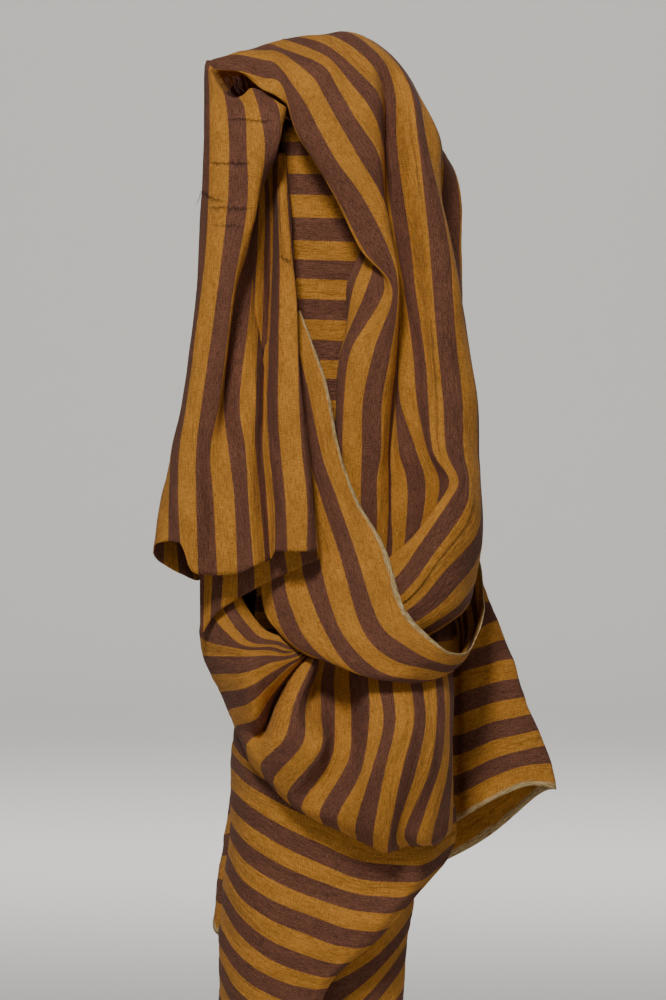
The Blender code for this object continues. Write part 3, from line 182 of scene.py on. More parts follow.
     (-0.5, 2.8, -9.1), (0.5, 4.7, -8.8), (1.5, 5.7, -7.4), (2.5, 6, -6.4), (3.5, 6.1, -6),
     (4.5, 6.6, -6.4), (5.5, 8.3, -7.4), (6.5, 9.3, -8.8), (7.5, 10.8, -9.4), (8.5, 12.7, -8.8),
     (9.5, 14.2, -6.8), (10.2, 14.4, -5), (12, 14, -1.4), (14, 13, 2.6), (16.5, 10.5, 6.6),
     (19, 6, 9.4)),
    (-42.5, (-5.5, 2.4, -5.2), (-4.5, 1.2, -5.8), (-3.5, 0.4, -6.6), (-2.4, 0.1, -7.4),
     (-1.5, 0.8, -8.2), (-0.5, 2.7, -8.6), (0.5, 4.6, -8.4), (1.5, 5.3, -6.9), (2.3, 5.5, -6.2),
     (2.8, 5.8, -6.3), (3.5, 6.4, -7), (4.5, 8.1, -8), (5.5, 9.2, -9), (6.5, 9.8, -9.8),
     (7.5, 11.1, -10.2), (8.5, 12.9, -9.2), (9.5, 14.3, -6.6), (10.5, 14.5, -4.6), (12, 14, -1.4),
     (14, 13, 2.6), (16.5, 10.6, 6.6), (19, 6, 9.2)),
    # the foot of the right side: stripes under 6 drop behind, and the rest turn to the lower left
    (-45.5, (-5.5, 2.4, -5.6), (-4.5, 1.2, -5.9), (-3.5, 0.4, -6.5), (-2.4, 0.1, -7.2), (-1.5, 0.9, -8),
     (-0.5, 2.6, -8.2), (0.5, 4.2, -8), (1.5, 5.3, -6.8), (2.4, 5.6, -6.2), (3.5, 7.2, -7),
     (4.5, 9, -8.2), (5.5, 10.4, -9.2), (6.5, 11.4, -10.2), (7.5, 12.3, -10.6), (8.5, 13.4, -9.8),
     (9.5, 14.5, -7.2), (10.5, 14.6, -4.8), (12, 14.2, -1.4), (14, 13, 2.6, -45),
     (16.5, 10.6, 6.4, -44.5), (19, 6, 9, -44)),
    (-49, (-5.5, 2.4, -6.1), (-4.5, 1.3, -6.4), (-3.5, 0.5, -6.9), (-2.4, 0.3, -7.3), (-1.5, 1, -7.8),
     (-0.5, 2.6, -8), (0.5, 4.2, -7.8), (1.5, 5.3, -7), (2.4, 5.6, -6.6), (3.5, 7.2, -7.1),
     (4.5, 8.8, -7.6), (5.5, 10, -8.2), (6.2, 10.2, -9.4, -48.4), (6.9, 10.5, -10.8, -47.6),
     (7.5, 11.4, -11.2, -47.6), (8.5, 12.8, -10.8, -48.6), (9.5, 14.3, -8.4, -50.6),
     (10.5, 14.6, -5.8, -52.4), (11.5, 14.4, -3.6, -54.2), (12.5, 14, -1.6, -55.4),
     (13, 13.8, -0.6, -55.8)),
    (-53, (-5.5, 2.4, -6.4), (-4.5, 1.4, -6.6), (-3.5, 0.6, -6.9), (-2.4, 0.4, -7.3), (-1.5, 1.1, -7.8),
     (-0.5, 2.6, -7.8), (0.5, 4, -7.6), (1.5, 5, -7.2), (2.4, 5.6, -7), (3.5, 6.7, -7.1),
     (4.5, 7.6, -7.3), (5.5, 8.3, -7.8, -52.6), (6.1, 7.8, -9.4, -52), (6.7, 7.6, -11, -51.4),
     (7.5, 8.4, -11.6, -52), (8.5, 9.6, -11.6, -53.2), (9.5, 10.7, -10.9, -54.8),
     (10.5, 12, -9.6, -56.2), (11.5, 12.9, -7.8, -57.4), (12.5, 13.2, -5.8, -58.2),
     (13, 13.2, -4.8, -58.4)),
    (-56.5, (-5.5, 2.4, -6.5), (-4.5, 1.4, -6.6), (-3.5, 0.6, -6.9), (-2.4, 0.4, -7.3),
     (-1.5, 1.1, -7.8), (-0.5, 2, -7.9), (0.5, 3, -7.7), (1.5, 3.8, -7.4), (2.4, 4.4, -7.2),
     (3.5, 5, -7.3), (4.5, 5.4, -7.6, -56), (5.4, 5.4, -8.2, -55.2), (6, 5.1, -9.4, -54.4),
     (6.6, 5.1, -10.6, -53.6), (7.5, 6.2, -11, -55.1), (8.5, 7.3, -11.2, -56.3),
     (9.5, 8.3, -10.9, -57.6), (10.5, 9.3, -10.4, -58.8), (11.5, 10, -9.6, -59.6),
     (12.5, 10.4, -8.6, -60.2), (13, 10.5, -8, -60.4)),
    (-59, (-5.5, 2.2, -4.2), (-4.5, 1.3, -4.2), (-3.5, 0.5, -4.5), (-2.4, 0.3, -5), (-1.5, 0.9, -5.6),
     (-0.5, 1.8, -5.8), (0.5, 2.6, -5.7), (1.5, 3.2, -5.6), (2.4, 3.5, -5.7), (3.5, 3.3, -6.3),
     (4.5, 2.6, -7.3), (5.4, 1.8, -9, -58.4), (6, 1.4, -9.6, -57.8), (6.6, 1.4, -10.2, -57.4),
     (7.5, 2.4, -10.6, -58.6), (8.5, 3.4, -10.8, -59.6), (9.5, 4.4, -10.6, -60.4),
     (10.5, 5.4, -10.2, -61.2), (11.5, 6, -9.6, -61.8), (12.5, 6.4, -8.8, -62.2),
     (13, 6.5, -8.4, -62.4)),
]

# From behind the front fold, round the front and up behind the right side. Stripe 0 is the selvedge.
slingRows = [
    (-29, (0, -3.5, -7, -28.5), (1.5, -4.6, -7.4), (3.5, -5.4, -7.2, -30), (5.5, -6.2, -7, -31),
     (7.5, -7, -6.8, -32)),
    (-36, (0, -0.9, -8.4, -35.5), (1.5, -2.8, -9), (2.5, -3.6, -8.4), (3.5, -4.4, -7.8),
     (5.5, -6, -7.6, -37.2), (7.5, -7.8, -7.2, -38)),
    (-43, (0, 0.5, -9.2, -42.5), (1.5, -1.3, -10), (2.5, -2.6, -9.4), (3.5, -3.6, -8.8),
     (5.5, -5.6, -8.2, -44.6), (7.5, -8, -7.8, -46)),
    (-47.6, (0, 2.3, -10), (1.5, 0.3, -10.9), (2.5, -1.3, -10.2), (3.5, -2.4, -9.4, -48.6),
     (4.5, -3.5, -8.9, -49.4), (5.5, -4.8, -8.6, -50.2), (7.5, -7.4, -8, -52)),
    (-52.8, (0, 5, -11.4, -52.3), (1.5, 2.1, -12), (2.5, 0.4, -11.4), (3.5, -1.5, -10.2, -53.8),
     (4.5, -3.2, -9.2, -54.6), (5.5, -5, -8.6, -55.8), (6.5, -6.3, -8.3, -56.8),
     (7.5, -7.3, -7.8, -57.8)),
    (-59.5, (0, 6.9, -12.4, -58.1), (1.5, 4.3, -13.2), (2.5, 2.7, -13.6, -60.3),
     (3.5, 0.5, -13.4, -60.3), (4.5, -1, -12.8, -60.5), (5.5, -3.1, -11.6, -61),
     (6.5, -4.8, -10.4, -61.2), (7.5, -5.7, -9.4, -60.7)),
    (-62, (0, 9.9, -12.6, -61.5), (1.5, 7, -14), (2.5, 5.5, -14.4, -63.2), (3.5, 4, -14.4, -64.2),
     (4.5, 1.7, -14, -64.3), (5.5, 0, -13.2, -63.9), (6.5, -1.7, -12.2, -63.3),
     (7.5, -2.7, -11.4, -63)),
    (-63.6, (0, 11.7, -11, -62.7), (1.5, 10.1, -12.4), (2.5, 8.9, -13, -64.2), (3.5, 7.5, -13.4, -65.2),
     (4.5, 5.7, -13.6, -65.5), (5.5, 4.2, -13.2, -65), (6.5, 2.6, -12.6, -64.4), (7.5, 1, -12, -63.8)),
    (-63.6, (0, 13.6, -7.5, -62.3), (1.5, 12.8, -8.2), (2.5, 11.9, -8.8, -64.4), (3.5, 10.8, -9.2, -65),
     (4.5, 9.8, -9.2, -65.4), (5.5, 9.2, -9, -65.8), (6.5, 8.6, -8.8, -66), (7.5, 8, -8.6, -66.1)),
    (-60, (0, 15.1, -2.5, -58.8), (1.5, 14.5, -1.8), (2.5, 14, -1.4, -60.9), (3.5, 13.2, -1.6, -61.8),
     (5.5, 12.4, -2, -63.4), (7.5, 11.8, -2.4, -65)),
    (-57, (0, 15.1, 1.2), (1.5, 14.4, 1.8, -57.6), (3.5, 13.4, 2, -58.8), (5.5, 12.8, 1.8, -60.4),
     (7.5, 12.6, 1.6, -62)),
    (-53.5, (0, 14.7, 2.6), (1.5, 13.9, 2.8), (3.5, 12.8, 2.6, -54.4), (5.5, 12, 2.2, -55.6),
     (7.5, 11.4, 2, -57)),
    (-49.5, (0, 12.8, 1.4), (1.5, 12.4, 1.8), (3.5, 11.6, 2, -50), (5.5, 10.8, 2, -51),
     (7.5, 10.2, 2, -52)),
    (-48, (0, 7.5, -0.4), (1.5, 7.4, 0.4), (3.5, 7, 1.2, -48.6), (5.5, 6.6, 2, -49.4),
     (7.5, 6.4, 2.8, -50.2)),
]

# The pouch fans out from a pinch under the sling. Its rows run from its turned edge up to the sling.
pouchRows = [
    (-80, (-0.5, -9.7, -6.7, -54.2), (1.5, -11.6, -6.6, -54.8), (3.5, -12.6, -4.4, -57.8),
     (4.5, -12, -2.8, -62.6), (5.5, -11.4, -2.6, -65.2), (7.5, -9.9, -3.4, -69.6),
     (8.5, -9.3, -5, -71.6), (9.5, -8.5, -7.6, -73.6), (10.5, -7, -9.2, -75.4), (12.5, -4.4, -10, -78),
     (14.5, -1.2, -10.6, -79.8), (16.5, 2.2, -10.8, -81.4), (18.5, 5.2, -10.6, -82.6),
     (20.5, 7.4, -9.8, -82), (22.5, 9.7, -9, -82), (24.5, 11.5, -6, -81)),
    (-75, (-0.5, -9.5, -8, -56.9), (1.5, -11.3, -7.8, -58.1), (2.5, -12.5, -7.2, -58.7),
     (3.5, -13.4, -6, -61.2), (4.5, -13.1, -5.6, -63.1), (5.5, -12.4, -5.4, -65),
     (6.5, -11.4, -5.6, -66.8), (7.5, -10.6, -6, -68.6), (8.5, -9.8, -7, -70.2),
     (9.5, -8.7, -8.8, -71.9), (10.5, -7.3, -10.2, -73.7), (11.5, -6, -11, -75.1),
     (12.5, -4.6, -11.4, -76.4), (13.5, -3.2, -11.2, -77.6), (14.5, -1.4, -11.7, -78.2),
     (15.5, 0.3, -12.8, -78.8), (16.5, 2.1, -13, -79.5), (17.5, 3.9, -13, -80),
     (18.5, 5.4, -12.6, -80.8), (19.5, 6.2, -11.6, -80.2), (20.5, 7, -11.6, -80.2),
     (21.5, 8.2, -11.4, -80.8), (22.5, 9.7, -10.6, -80.8), (23.5, 11.2, -9, -80.4),
     (24.5, 11.8, -7, -80)),
    (-72, (-0.5, -7.3, -8.4, -60.2), (0.5, -7.9, -9.2, -60.9), (1.5, -8.8, -10, -61.5),
     (2.5, -9.5, -10.6, -61.8), (3.5, -9.7, -10.8, -62.3), (4.5, -9, -11.2, -63.1),
     (5.5, -9, -11.6, -64.7), (6.5, -8.8, -11.6, -66.2), (7.5, -8.5, -11.2, -67.7),
     (8.5, -7.9, -10.6, -69.3), (9.4, -7.2, -8.2, -70.3), (9.8, -7, -7.8, -70.4),
     (10.2, -6.4, -10.6, -71.2), (10.6, -4.5, -12.8, -71.2), (11.5, -3.2, -13.6, -71.7),
     (12.5, -1.5, -13.8, -72.3), (13.5, -0.4, -11.6, -73.3), (14.5, 1.3, -11.2, -73.5),
     (15.5, 2.6, -13.8, -74.3), (16.5, 3.6, -14.6, -74.3), (17.5, 5, -15, -74),
     (18.5, 6.6, -14.8, -74.5), (19.5, 8, -13.8, -74.5), (20.5, 9.3, -13, -74.7),
     (21.5, 10.4, -11.8, -74.3), (22.5, 11.2, -10.4, -74.7), (23.5, 11.7, -8.6, -75),
     (24.5, 11.8, -6.4, -75)),
    (-68, (-0.5, -5.2, -9, -61.2), (1.5, -6, -10, -62), (3.5, -6.6, -10.8, -62.5),
     (4.5, -6.5, -11, -63), (5.5, -6.6, -11.4, -63.8), (6.5, -6.5, -11.5, -64.8),
     (7.5, -6.5, -11, -65.8), (8.5, -6.4, -9.6, -67), (9.4, -6.1, -7.8, -67.6),
     (9.8, -5.9, -7.6, -67.6), (10.2, -5, -11, -67.8), (10.6, -3.8, -12.4, -67.8),
     (11.5, -3, -11.4, -68.4), (12.5, -1.4, -9.6, -68.8), (13.5, 0, -8.8, -69.4),
     (14.5, 1.6, -9.6, -69.6), (15.5, 3.4, -13.2, -69.6), (16.5, 4.8, -14, -69.6),
     (17.5, 6, -14.2, -69.6), (18.5, 7.8, -13.6, -69.6), (19.5, 9, -12.6, -69.8),
     (20.5, 10.1, -11.8, -69.8), (21.5, 10.9, -10.8, -69.6), (22.5, 11.4, -9.6, -69.8),
     (23.5, 11.8, -7.8, -70), (24.5, 11.8, -6, -70)),
    (-65.6, (-0.5, -3.8, -9.6, -62), (1.5, -4.3, -10, -62.5), (3.5, -4.7, -10.4, -62.8),
     (5.5, -4.8, -10.8, -63.4), (7.5, -4.7, -10.6, -64.2), (8.5, -4.8, -10, -64.9),
     (9.3, -4.7, -8.2, -65.3), (9.8, -4.4, -8.4, -65.1), (10.2, -3.4, -10.8, -64.5),
     (10.6, -2.4, -10.8, -64.4), (11.2, -2, -9, -65), (11.5, -2.4, -9.6), (11.8, -2, -7.2, -65.8),
     (12.5, -1.4, -7, -65.8), (13.5, -0.1, -7.1), (14.5, 1.4, -8.4), (15.5, 3.3, -11.6),
     (16.5, 4.3, -12), (17.5, 5.7, -12), (18.5, 7.5, -11.6), (19.5, 8.7, -10.8), (20.5, 10, -10.2),
     (21.5, 10.7, -9.4), (22.5, 11.3, -8.4), (23.5, 11.8, -7.2), (24.5, 11.8, -5.5)),
    (-62.8, (-0.5, -2.6, -8.6, -61.2), (3.5, -3, -9, -62), (6.5, -2.9, -9.4), (9.3, -2.6, -8.8),
     (10.5, -1.8, -9), (12.5, -0.8, -7.4), (14.5, 1.6, -7.8), (16.5, 4.4, -10.2), (18.5, 7.2, -9.8),
     (21.5, 10, -8.2), (24.5, 11, -5)),
    (-61.6, (-0.5, -3, -5, -60.4), (3.5, -3, -5.1, -61.2), (6.5, -2.8, -5.2, -61.8),
     (9.3, -2, -5, -61.9), (12.5, 0, -4.8), (18.5, 5.6, -4.8), (24.5, 8.4, -2.4)),
]

# The wrap's inner turn is a tube open at both ends, from the front (0) round the right side (3) and
# the back (5) to the left side (7). Its outer turn is the skirt's front, from the left side to its
# edge at the right (12). Here the rows follow the stripes, and columns stand for stripe numbers.
wrapRows = [
    (-9.6, (0, -5.4, -1.6), (1, -3.6, -4.1), (2, 2.8, -4.2), (3, 6, 1), (4, 4, 5.4), (5, 0, 6.8),
     (6, -4, 5), (7, -6, 1)),
    (-11.4, (0, -6, -1.8), (1, -4.4, -4.5), (2, 3.2, -4.6), (3, 7, 1), (4, 5, 6), (5, 0, 7.6),
     (6, -5, 5.4), (7, -7, 1)),
    (-21.8, (0, -6.4, -2), (1, -4.4, -4.7), (2, 3.4, -4.7, -22), (3, 7.8, 1), (4, 5.4, 6.4), (5, 0, 8),
     (6, -5.4, 6), (7, -7.6, 1)),
    (-35.2, (0, -6.6, -2), (1, -4.2, -4.7), (2, 3.4, -4.7, -35.4), (3, 8.2, 1), (4, 5.8, 6.6),
     (5, 0, 8.2), (6, -5.8, 6.2), (7, -8.2, 1)),
    (-46.5, (0, -7, -2.4), (1, -4, -4.9), (2, 3.8, -4.9), (3, 9, 0.6), (4, 6.4, 6.8), (5, 0, 8.6),
     (6, -6.6, 6.4), (7, -9, 1)),
    (-58, (0, -8, -3), (1, -3.6, -6.2), (2, 4.4, -6.2), (3, 10.2, 0.4), (4, 7, 7), (5, 0, 9),
     (6, -7.4, 6.6), (7, -9.8, 0.8), (8, -9.4, -5), (9, -6, -8.8), (10, 1, -10), (11, 8, -8.2),
     (12, 11.4, -3.6)),
    (-70, (0, -8.4, -3), (1, -3.4, -6.6), (2, 4.8, -6.6), (3, 10.6, 0.4), (4, 7.4, 7), (5, 0, 9.2),
     (6, -7.8, 6.6), (7, -10.2, 0.8), (8, -9.4, -5, -71), (9, -6, -8, -73), (10, 1, -9, -76),
     (11, 8, -7.6, -77), (12, 11.6, -3.4, -75)),
    (-74, (0, -8.4, -3, -78), (1, -3.4, -6.8, -79), (2, 4.8, -7, -79), (3, 10.8, 0.4, -77),
     (4, 7.4, 7, -75), (5, 0, 9.2), (6, -7.8, 6.6, -73), (7, -10.5, 0.4, -73.4), (8, -9.2, -5, -74.8),
     (9, -5.6, -8.2, -76.8), (9.6, -2, -8.6, -78.5), (10.4, 3.6, -8.6, -80.6), (11, 8, -7.8, -81.2),
     (12, 12.2, -3, -79)),
    (-77, (0, -8.4, -3, -83), (1, -3, -6.8, -84), (2, 4.8, -6.8, -83.6), (3, 10, 0.4, -81),
     (4, 7, 7, -79), (5, -0.4, 9.2, -78), (6, -8, 6.6, -76.6), (7, -10.6, 0.4, -77.4),
     (8, -9.3, -5, -78.7), (9, -5.6, -8, -81), (9.6, -2, -8.1, -82.7), (10.4, 3.6, -8.2, -84.8),
     (11, 8, -8, -85), (12, 11.7, -3.4, -83.1)),
    (-80, (0, -8.4, -3, -90), (1, -2.6, -6, -92), (2, 4.4, -5.8, -90), (3, 8.4, 0, -85.6),
     (4, 6, 6.6, -83), (5, -1, 9, -82), (6, -8.4, 6.4, -80.4), (7, -10.7, 0.2, -80.7),
     (8, -9.4, -5, -82.5), (9, -5.6, -8.1, -84.9), (9.6, -2.1, -8.3, -86.4), (10.4, 2.8, -8.6, -87.8),
     (11, 5.8, -9, -88), (12, 8, -7.4, -87.4)),
    (-82.5, (0, -8.4, -3, -96), (1, -2.8, -5.4, -98), (2, 3.8, -5, -94.6), (3, 7.8, -0.4, -89.4),
     (4, 5.4, 6.2, -87), (5, -1.6, 8.8, -86), (6, -8.8, 6.2, -84), (7, -11, 0, -84),
     (8, -9.6, -5, -86.3), (9, -6, -8.4, -88.7), (9.6, -2.6, -9, -90), (10.4, 0.8, -9.6, -91.2),
     (11, 3, -9.4, -91.5), (12, 4.6, -8.6, -91.2)),
    (-86, (0, -8.4, -3.2, -101), (1, -3, -5.2, -102.6), (2, 3.4, -4.8, -98), (3, 7.3, -0.6, -92.7),
     (4, 5, 5.8, -90.6), (5, -2, 8.6, -90), (6, -9, 6, -88), (7, -11.4, 0, -87.6), (8, -9.9, -5, -89.9),
     (9, -6.8, -8, -92.4), (9.6, -4.6, -9, -93.4), (10.4, -2.2, -9.4, -94.2), (11, -0.4, -9.4, -94.6),
     (12, 0.8, -8.8, -94.5)),
    (-90.5, (0, -8.6, -3.4, -105), (1, -3.2, -5, -106.4), (2, 3, -4.6, -102.4), (3, 7, -0.8, -97.6),
     (4, 4.8, 5.6, -95), (5, -2.2, 8.4, -94), (6, -9.2, 5.8, -92.4), (7, -11.7, 0, -91.5),
     (8, -10.1, -5, -93.8), (9, -7.6, -7.8, -95.7), (10, -4.2, -9, -97), (11, -2.2, -9.2, -97.3),
     (12, -1.1, -8.8, -97.2)),
    (-96.5, (0, -8.8, -3.6, -109), (1, -3.6, -5, -110), (2, 2.6, -4.4, -107), (3, 6.8, -1, -103),
     (4, 4.4, 5.4, -100.4), (5, -2.4, 8.2, -99.4), (6, -9.4, 5.6, -98), (7, -11.8, 0),
     (8, -10.3, -5, -99.4), (9, -8, -7.6, -101.2), (10, -5.2, -8.7, -102.6), (11, -3.6, -8.9, -103),
     (12, -2.7, -8.5, -103.1)),
    (-105, (0, -9, -3.8, -114.5), (1, -4, -5, -115), (2, 2.2, -4.4, -113.4), (3, 6.5, -1.2, -110.6),
     (4, 4.2, 5.2, -108.6), (5, -2.6, 8, -107.6), (6, -9.6, 5.4, -106.4), (7, -11.9, 0),
     (8, -10.4, -5, -107.4), (9, -8.4, -7.4, -109), (10, -6.2, -8.4, -110.2), (11, -5.1, -8.5, -110.7),
     (12, -4.4, -8.2, -110.8)),
    (-115.5, (0, -9.2, -4, -122), (1, -4.4, -5, -122), (2, 1.8, -4.4, -122), (3, 6.2, -1.4, -120.4),
     (4, 4, 5, -118.8), (5, -2.8, 7.8, -117.8), (6, -9.8, 5.2, -116.8), (7, -12, 0),
     (8, -10.6, -5, -117.6), (9, -9, -7, -119), (10, -7.4, -7.9, -120.2), (11, -6.6, -8, -120.8),
     (12, -6.1, -7.8, -121)),
]

# The flap is the wrap's last turn: out from the right side, folded back and round behind to the left.
flapRows = [
    (-57, (0, 7.6, 0.8, -80), (4, 7.2, 0.8, -72), (8, 7, 0.8, -64.4), (12, 6.8, 0.8)),
    (-56.6, (0, 12, 4, -80.4), (4, 11.8, 4, -72.2), (8, 11.6, 4, -64.4), (12, 11.4, 4)),
    (-56, (0, 13.6, 2.2, -79.5), (4, 13.4, 2.4, -71.8), (8, 13, 3, -63.6), (12, 12.4, 3.4)),
    (-55.6, (0, 16.4, 1.6, -77.9), (4, 16, 1.8, -70.7), (8, 15.2, 2.6, -63), (12, 13.4, 3.4)),
    (-55, (0, 19.7, 1.8, -76.6), (4, 18.4, 2, -70.2), (8, 16.6, 2.8, -62.5), (12, 13.8, 4)),
    (-54.4, (0, 22.5, 2.6, -77), (1.3, 22, 2.8, -74.4), (2.3, 21.4, 2.9, -72.6), (4, 20.2, 3, -69.9),
     (6, 19, 3.4, -66.4), (8, 17.7, 3.8, -62.4), (12, 14.4, 5)),
    (-55, (0, 20.8, 5.4, -77.7), (1.2, 20.3, 5.4, -75), (4, 18.8, 5.6, -71), (8, 16.8, 5.6, -63.4),
     (12, 13.9, 6.2)),
    (-57, (0, 14.6, 8.4, -82.9), (1.2, 14.2, 8.4, -79.8), (4, 13.4, 8.4, -74.6), (8, 12.2, 8.6, -67),
     (12, 11.2, 8.8)),
    (-62, (0, 4, 11.4, -88), (1.2, 3.9, 11.4, -84.8), (4, 3.6, 11.6, -79.4), (8, 3.4, 11.6, -71),
     (12, 3, 11.8)),
    (-66.4, (0, -6, 10.8, -91.6), (4, -5.6, 10.8, -83.4), (8, -5.2, 10.8, -75), (12, -5, 10.8)),
    (-67.6, (0, -11.2, 6.4, -89), (4, -10.6, 6.6, -82.6), (8, -9.8, 7, -76.2), (12, -9.4, 7.2)),
    (-66, (0, -12.25, 2, -91.4), (2, -11.8, 2.2, -86.8), (4, -11, 2.8, -82.2), (8, -10.3, 4.2, -74),
     (12, -9.8, 4.8)),
    (-65, (0, -8.6, -1.6, -93), (4, -7.8, -1.2, -81.4), (8, -7.4, -0.8, -73), (12, -7, -0.4)),
]


def smoothThrough(knots, values, at, keepExtremes):
    # values read from a smooth curve through a row of knots, with no overshoot if keepExtremes
    knots = np.asarray(knots, float)
    values = np.asarray(values, float)
    at = np.clip(at, knots[0], knots[-1])
    gaps = np.diff(knots)[:, None]
    rises = np.diff(values, axis=0) / gaps
    inner = (rises[1:] * gaps[:-1] + rises[:-1] * gaps[1:]) / (gaps[1:] + gaps[:-1])
    slopes = np.vstack([rises[:1], inner, rises[-1:]])
    if keepExtremes:
        product = rises[1:] * rises[:-1]
        total = np.where(product > 0, rises[1:] + rises[:-1], 1)
        slopes[1:-1] = np.where(product > 0, 2 * product / total, 0)
    i = np.clip(np.searchsorted(knots, at, side="right") - 1, 0, len(knots) - 2)
    f = ((at - knots[i]) / gaps[i, 0])[:, None]
    ends = (1 + 2 * f) * (1 - f) ** 2 * values[i] + f * f * (3 - 2 * f) * values[i + 1]
    return ends + gaps[i] * f * (1 - f) * ((1 - f) * slopes[i] - f * slopes[i + 1])


def layCloth(rows, facts):
    # the sheet's points in metres, with the stripe number and the length along the stripe at each
    low = min(row[1][0] for row in rows)
    high = max(row[-1][0] for row in rows)
    stripes = np.linspace(low, high, round((high - low) * facts["stepsInStripe"]) + 1)
    sections = []
    for height, *folds in rows:
        points = [(x, y, own[0] if own else height) for _, x, y, *own in folds]
        sections.append(smoothThrough([fold[0] for fold in folds], points, stripes, True))
    sections = np.array(sections)
    apart = np.linalg.norm(np.diff(sections, axis=0), axis=2)
    steps = np.maximum(2, np.round(apart.mean(axis=1) / facts["stepAlong"]).astype(int))
    at = np.concatenate([np.linspace(i, i + 1, n, endpoint=False) for i, n in enumerate(steps)])
    at = np.append(at, len(rows) - 1)
    flat = smoothThrough(np.arange(len(rows)), sections.reshape(len(rows), -1), at, False)
    points = flat.reshape(len(at), len(stripes), 3)
    going = np.linalg.norm(np.diff(points, axis=0), axis=2).mean(axis=1)
    along = np.concatenate([[0], np.cumsum(going)]) / 2
    return points, stripes, along, at


def waves(u, v, across, lengthways, seed):
    # smooth uneven swells, about across and lengthways long, from -1 to 1
    draw = np.random.default_rng(seed)
    x = u / across
    y = v / lengthways
    x = x + 0.35 * np.sin(y * 1.7 + 1)
    x0 = np.floor(x).astype(int)
    y0 = np.floor(y).astype(int)
    lattice = draw.uniform(-1, 1, (y0.max() - y0.min() + 3, x0.max() - x0.min() + 3))
    fx = x - x0
    fy = y - y0
    fx = fx * fx * (3 - 2 * fx)
    fy = fy * fy * (3 - 2 * fy)
    x0 = x0 - x0.min()
    y0 = y0 - y0.min()
    top = lattice[y0, x0] * (1 - fx) + lattice[y0, x0 + 1] * fx
    low = lattice[y0 + 1, x0] * (1 - fx) + lattice[y0 + 1, x0 + 1] * fx
    return top * (1 - fy) + low * fy


def outward(points):
    # the unit normals of a grid of points
    across = np.gradient(points, axis=1)
    along = np.gradient(points, axis=0)
    normal = np.cross(across, along)
    return normal / np.maximum(np.linalg.norm(normal, axis=2, keepdims=True), 1e-9)


def ruffle(points, u, v, facts):
    # larger and smaller swells, along the normals
    normal = outward(points)
    rise = np.zeros(points.shape[:2])
    for number, (across, lengthways, height) in enumerate(facts["swells"]):
        rise += waves(u, v, across, lengthways, facts["seed"] + number) * height
    # some grids' normals point to the back, so each sheet says which way is out
    return points + normal * (rise * facts["outwardSign"])[..., None]


def makeCloth(name, rows, facts, material):
    points, columnPlace, along, rowPlace = layCloth(rows, facts)
    if "rowStripes" in facts:  # this sheet's stripes run round it, so its rows are the stripes
        stripe = np.interp(rowPlace, np.arange(len(rows)), facts["rowStripes"])
        going = np.linalg.norm(np.diff(points, axis=1), axis=2).mean(axis=0)
        stripes = np.broadcast_to(stripe[:, None], points.shape[:2])
        lengths = np.broadcast_to(np.concatenate([[0], np.cumsum(going)]) / 2, points.shape[:2])
    else:
        stripes = np.broadcast_to(columnPlace, points.shape[:2])
        lengths = np.broadcast_to(along[:, None], points.shape[:2])
    points = ruffle(points, stripes, lengths, facts)
    mesh = bmesh.new()
    uvLayer = mesh.loops.layers.uv.new("cloth")
    placeLayer = mesh.loops.layers.uv.new("place")
    count, columns = stripes.shape
    grid = bmesh.ops.create_grid(mesh, x_segments=columns - 1, y_segments=count - 1, size=1)
    flat = {}
    unwanted = set()
    for vert in grid["verts"]:
        column = round((vert.co.x + 1) / 2 * (columns - 1))
        row = round((vert.co.y + 1) / 2 * (count - 1))
        vert.co = points[row, column] * cm
        flat[vert] = (columnPlace[column], rowPlace[row], stripes[row, column], lengths[row, column])
    for face in list(mesh.faces):
        middle = np.mean([flat[vert][0] for vert in face.verts])
        place = np.mean([flat[vert][1] for vert in face.verts])
        if not any(a < place < b and c < middle < d for a, b, c, d in facts["parts"]):
            unwanted.add(face)
            continue
        face.smooth = True
        for loop in face.loops:
            column, row, stripe, length = flat[loop.vert]
            loop[uvLayer].uv = (stripe + facts["firstColor"], length)
            loop[placeLayer].uv = (column + facts["firstPlace"], row)
    bmesh.ops.delete(mesh, geom=list(unwanted), context="FACES")
    data = bpy.data.meshes.new(name)
    mesh.to_mesh(data)
    mesh.free()
    data.materials.append(material)
    cloth = bpy.data.objects.new(name, data)
    bpy.context.scene.collection.objects.link(cloth)
    thick = cloth.modifiers.new("thickness", "SOLIDIFY")
    thick.thickness = facts["thickness"]
    thick.offset = 0
    area = sum(face.area for face in data.polygons)
    print(name, "made with", len(data.polygons), "faces,", round(area, 3), "square metres")
    return cloth


# Linen, plain-woven from uneven flax yarn: matt, slightly rough, and each stripe is flecked with paler and
# darker yarns.

linenFacts = {
    "ochre": "#CA8937",
    "ochreShade": "#A86E29",
    "ochreFleck": "#CF9340",
    "plum": "#7C4E3B",
    "plumShade": "#5C392D",
    "plumFleck": "#8A5C45",
    "selvedge": "#D8BF90",
    "selvedgeShade": "#A8854C",
    "yarnWidth": 0.04,  # in stripes, so 0.8 mm: a real yarn is about half that, too fine to show
    "weaveDepth": 0.00035,  # in metres
    "crinkleDepth": 0.0019,
    "creaseDepth": 1.6,  # as parts of a crinkle
    # how much the creases are darkened in the colour: painted shade
    "creasePaintedShade": 0.3,
}

# Pressed creases, each from (stripe, row) to (stripe, row) of a table, with its half width in rows and
# its depth, which also sets how much painted shade darkens it. The sling's stripes count from 100
# here, the pouch's from 200, the wrap's columns from 300 and the flap's stripes from 400.
creasesAcross = [
    ((-4.4, 6.62), (-1.2, 6.7), 0.06, 0.9),
    ((-2.8, 5.7), (-0.3, 5.73), 0.05, 0.8),
    ((-1.6, 5.04), (0.6, 5.3), 0.06, 0.9),
    ((-2.9, 4.99), (-0.3, 5.01), 0.045, 0.8),
    ((-2.7, 4.77), (-0.6, 4.8), 0.035, 0.5),
    ((-9.6, 4.36), (-8.4, 4.46), 0.04, 0.9),
]
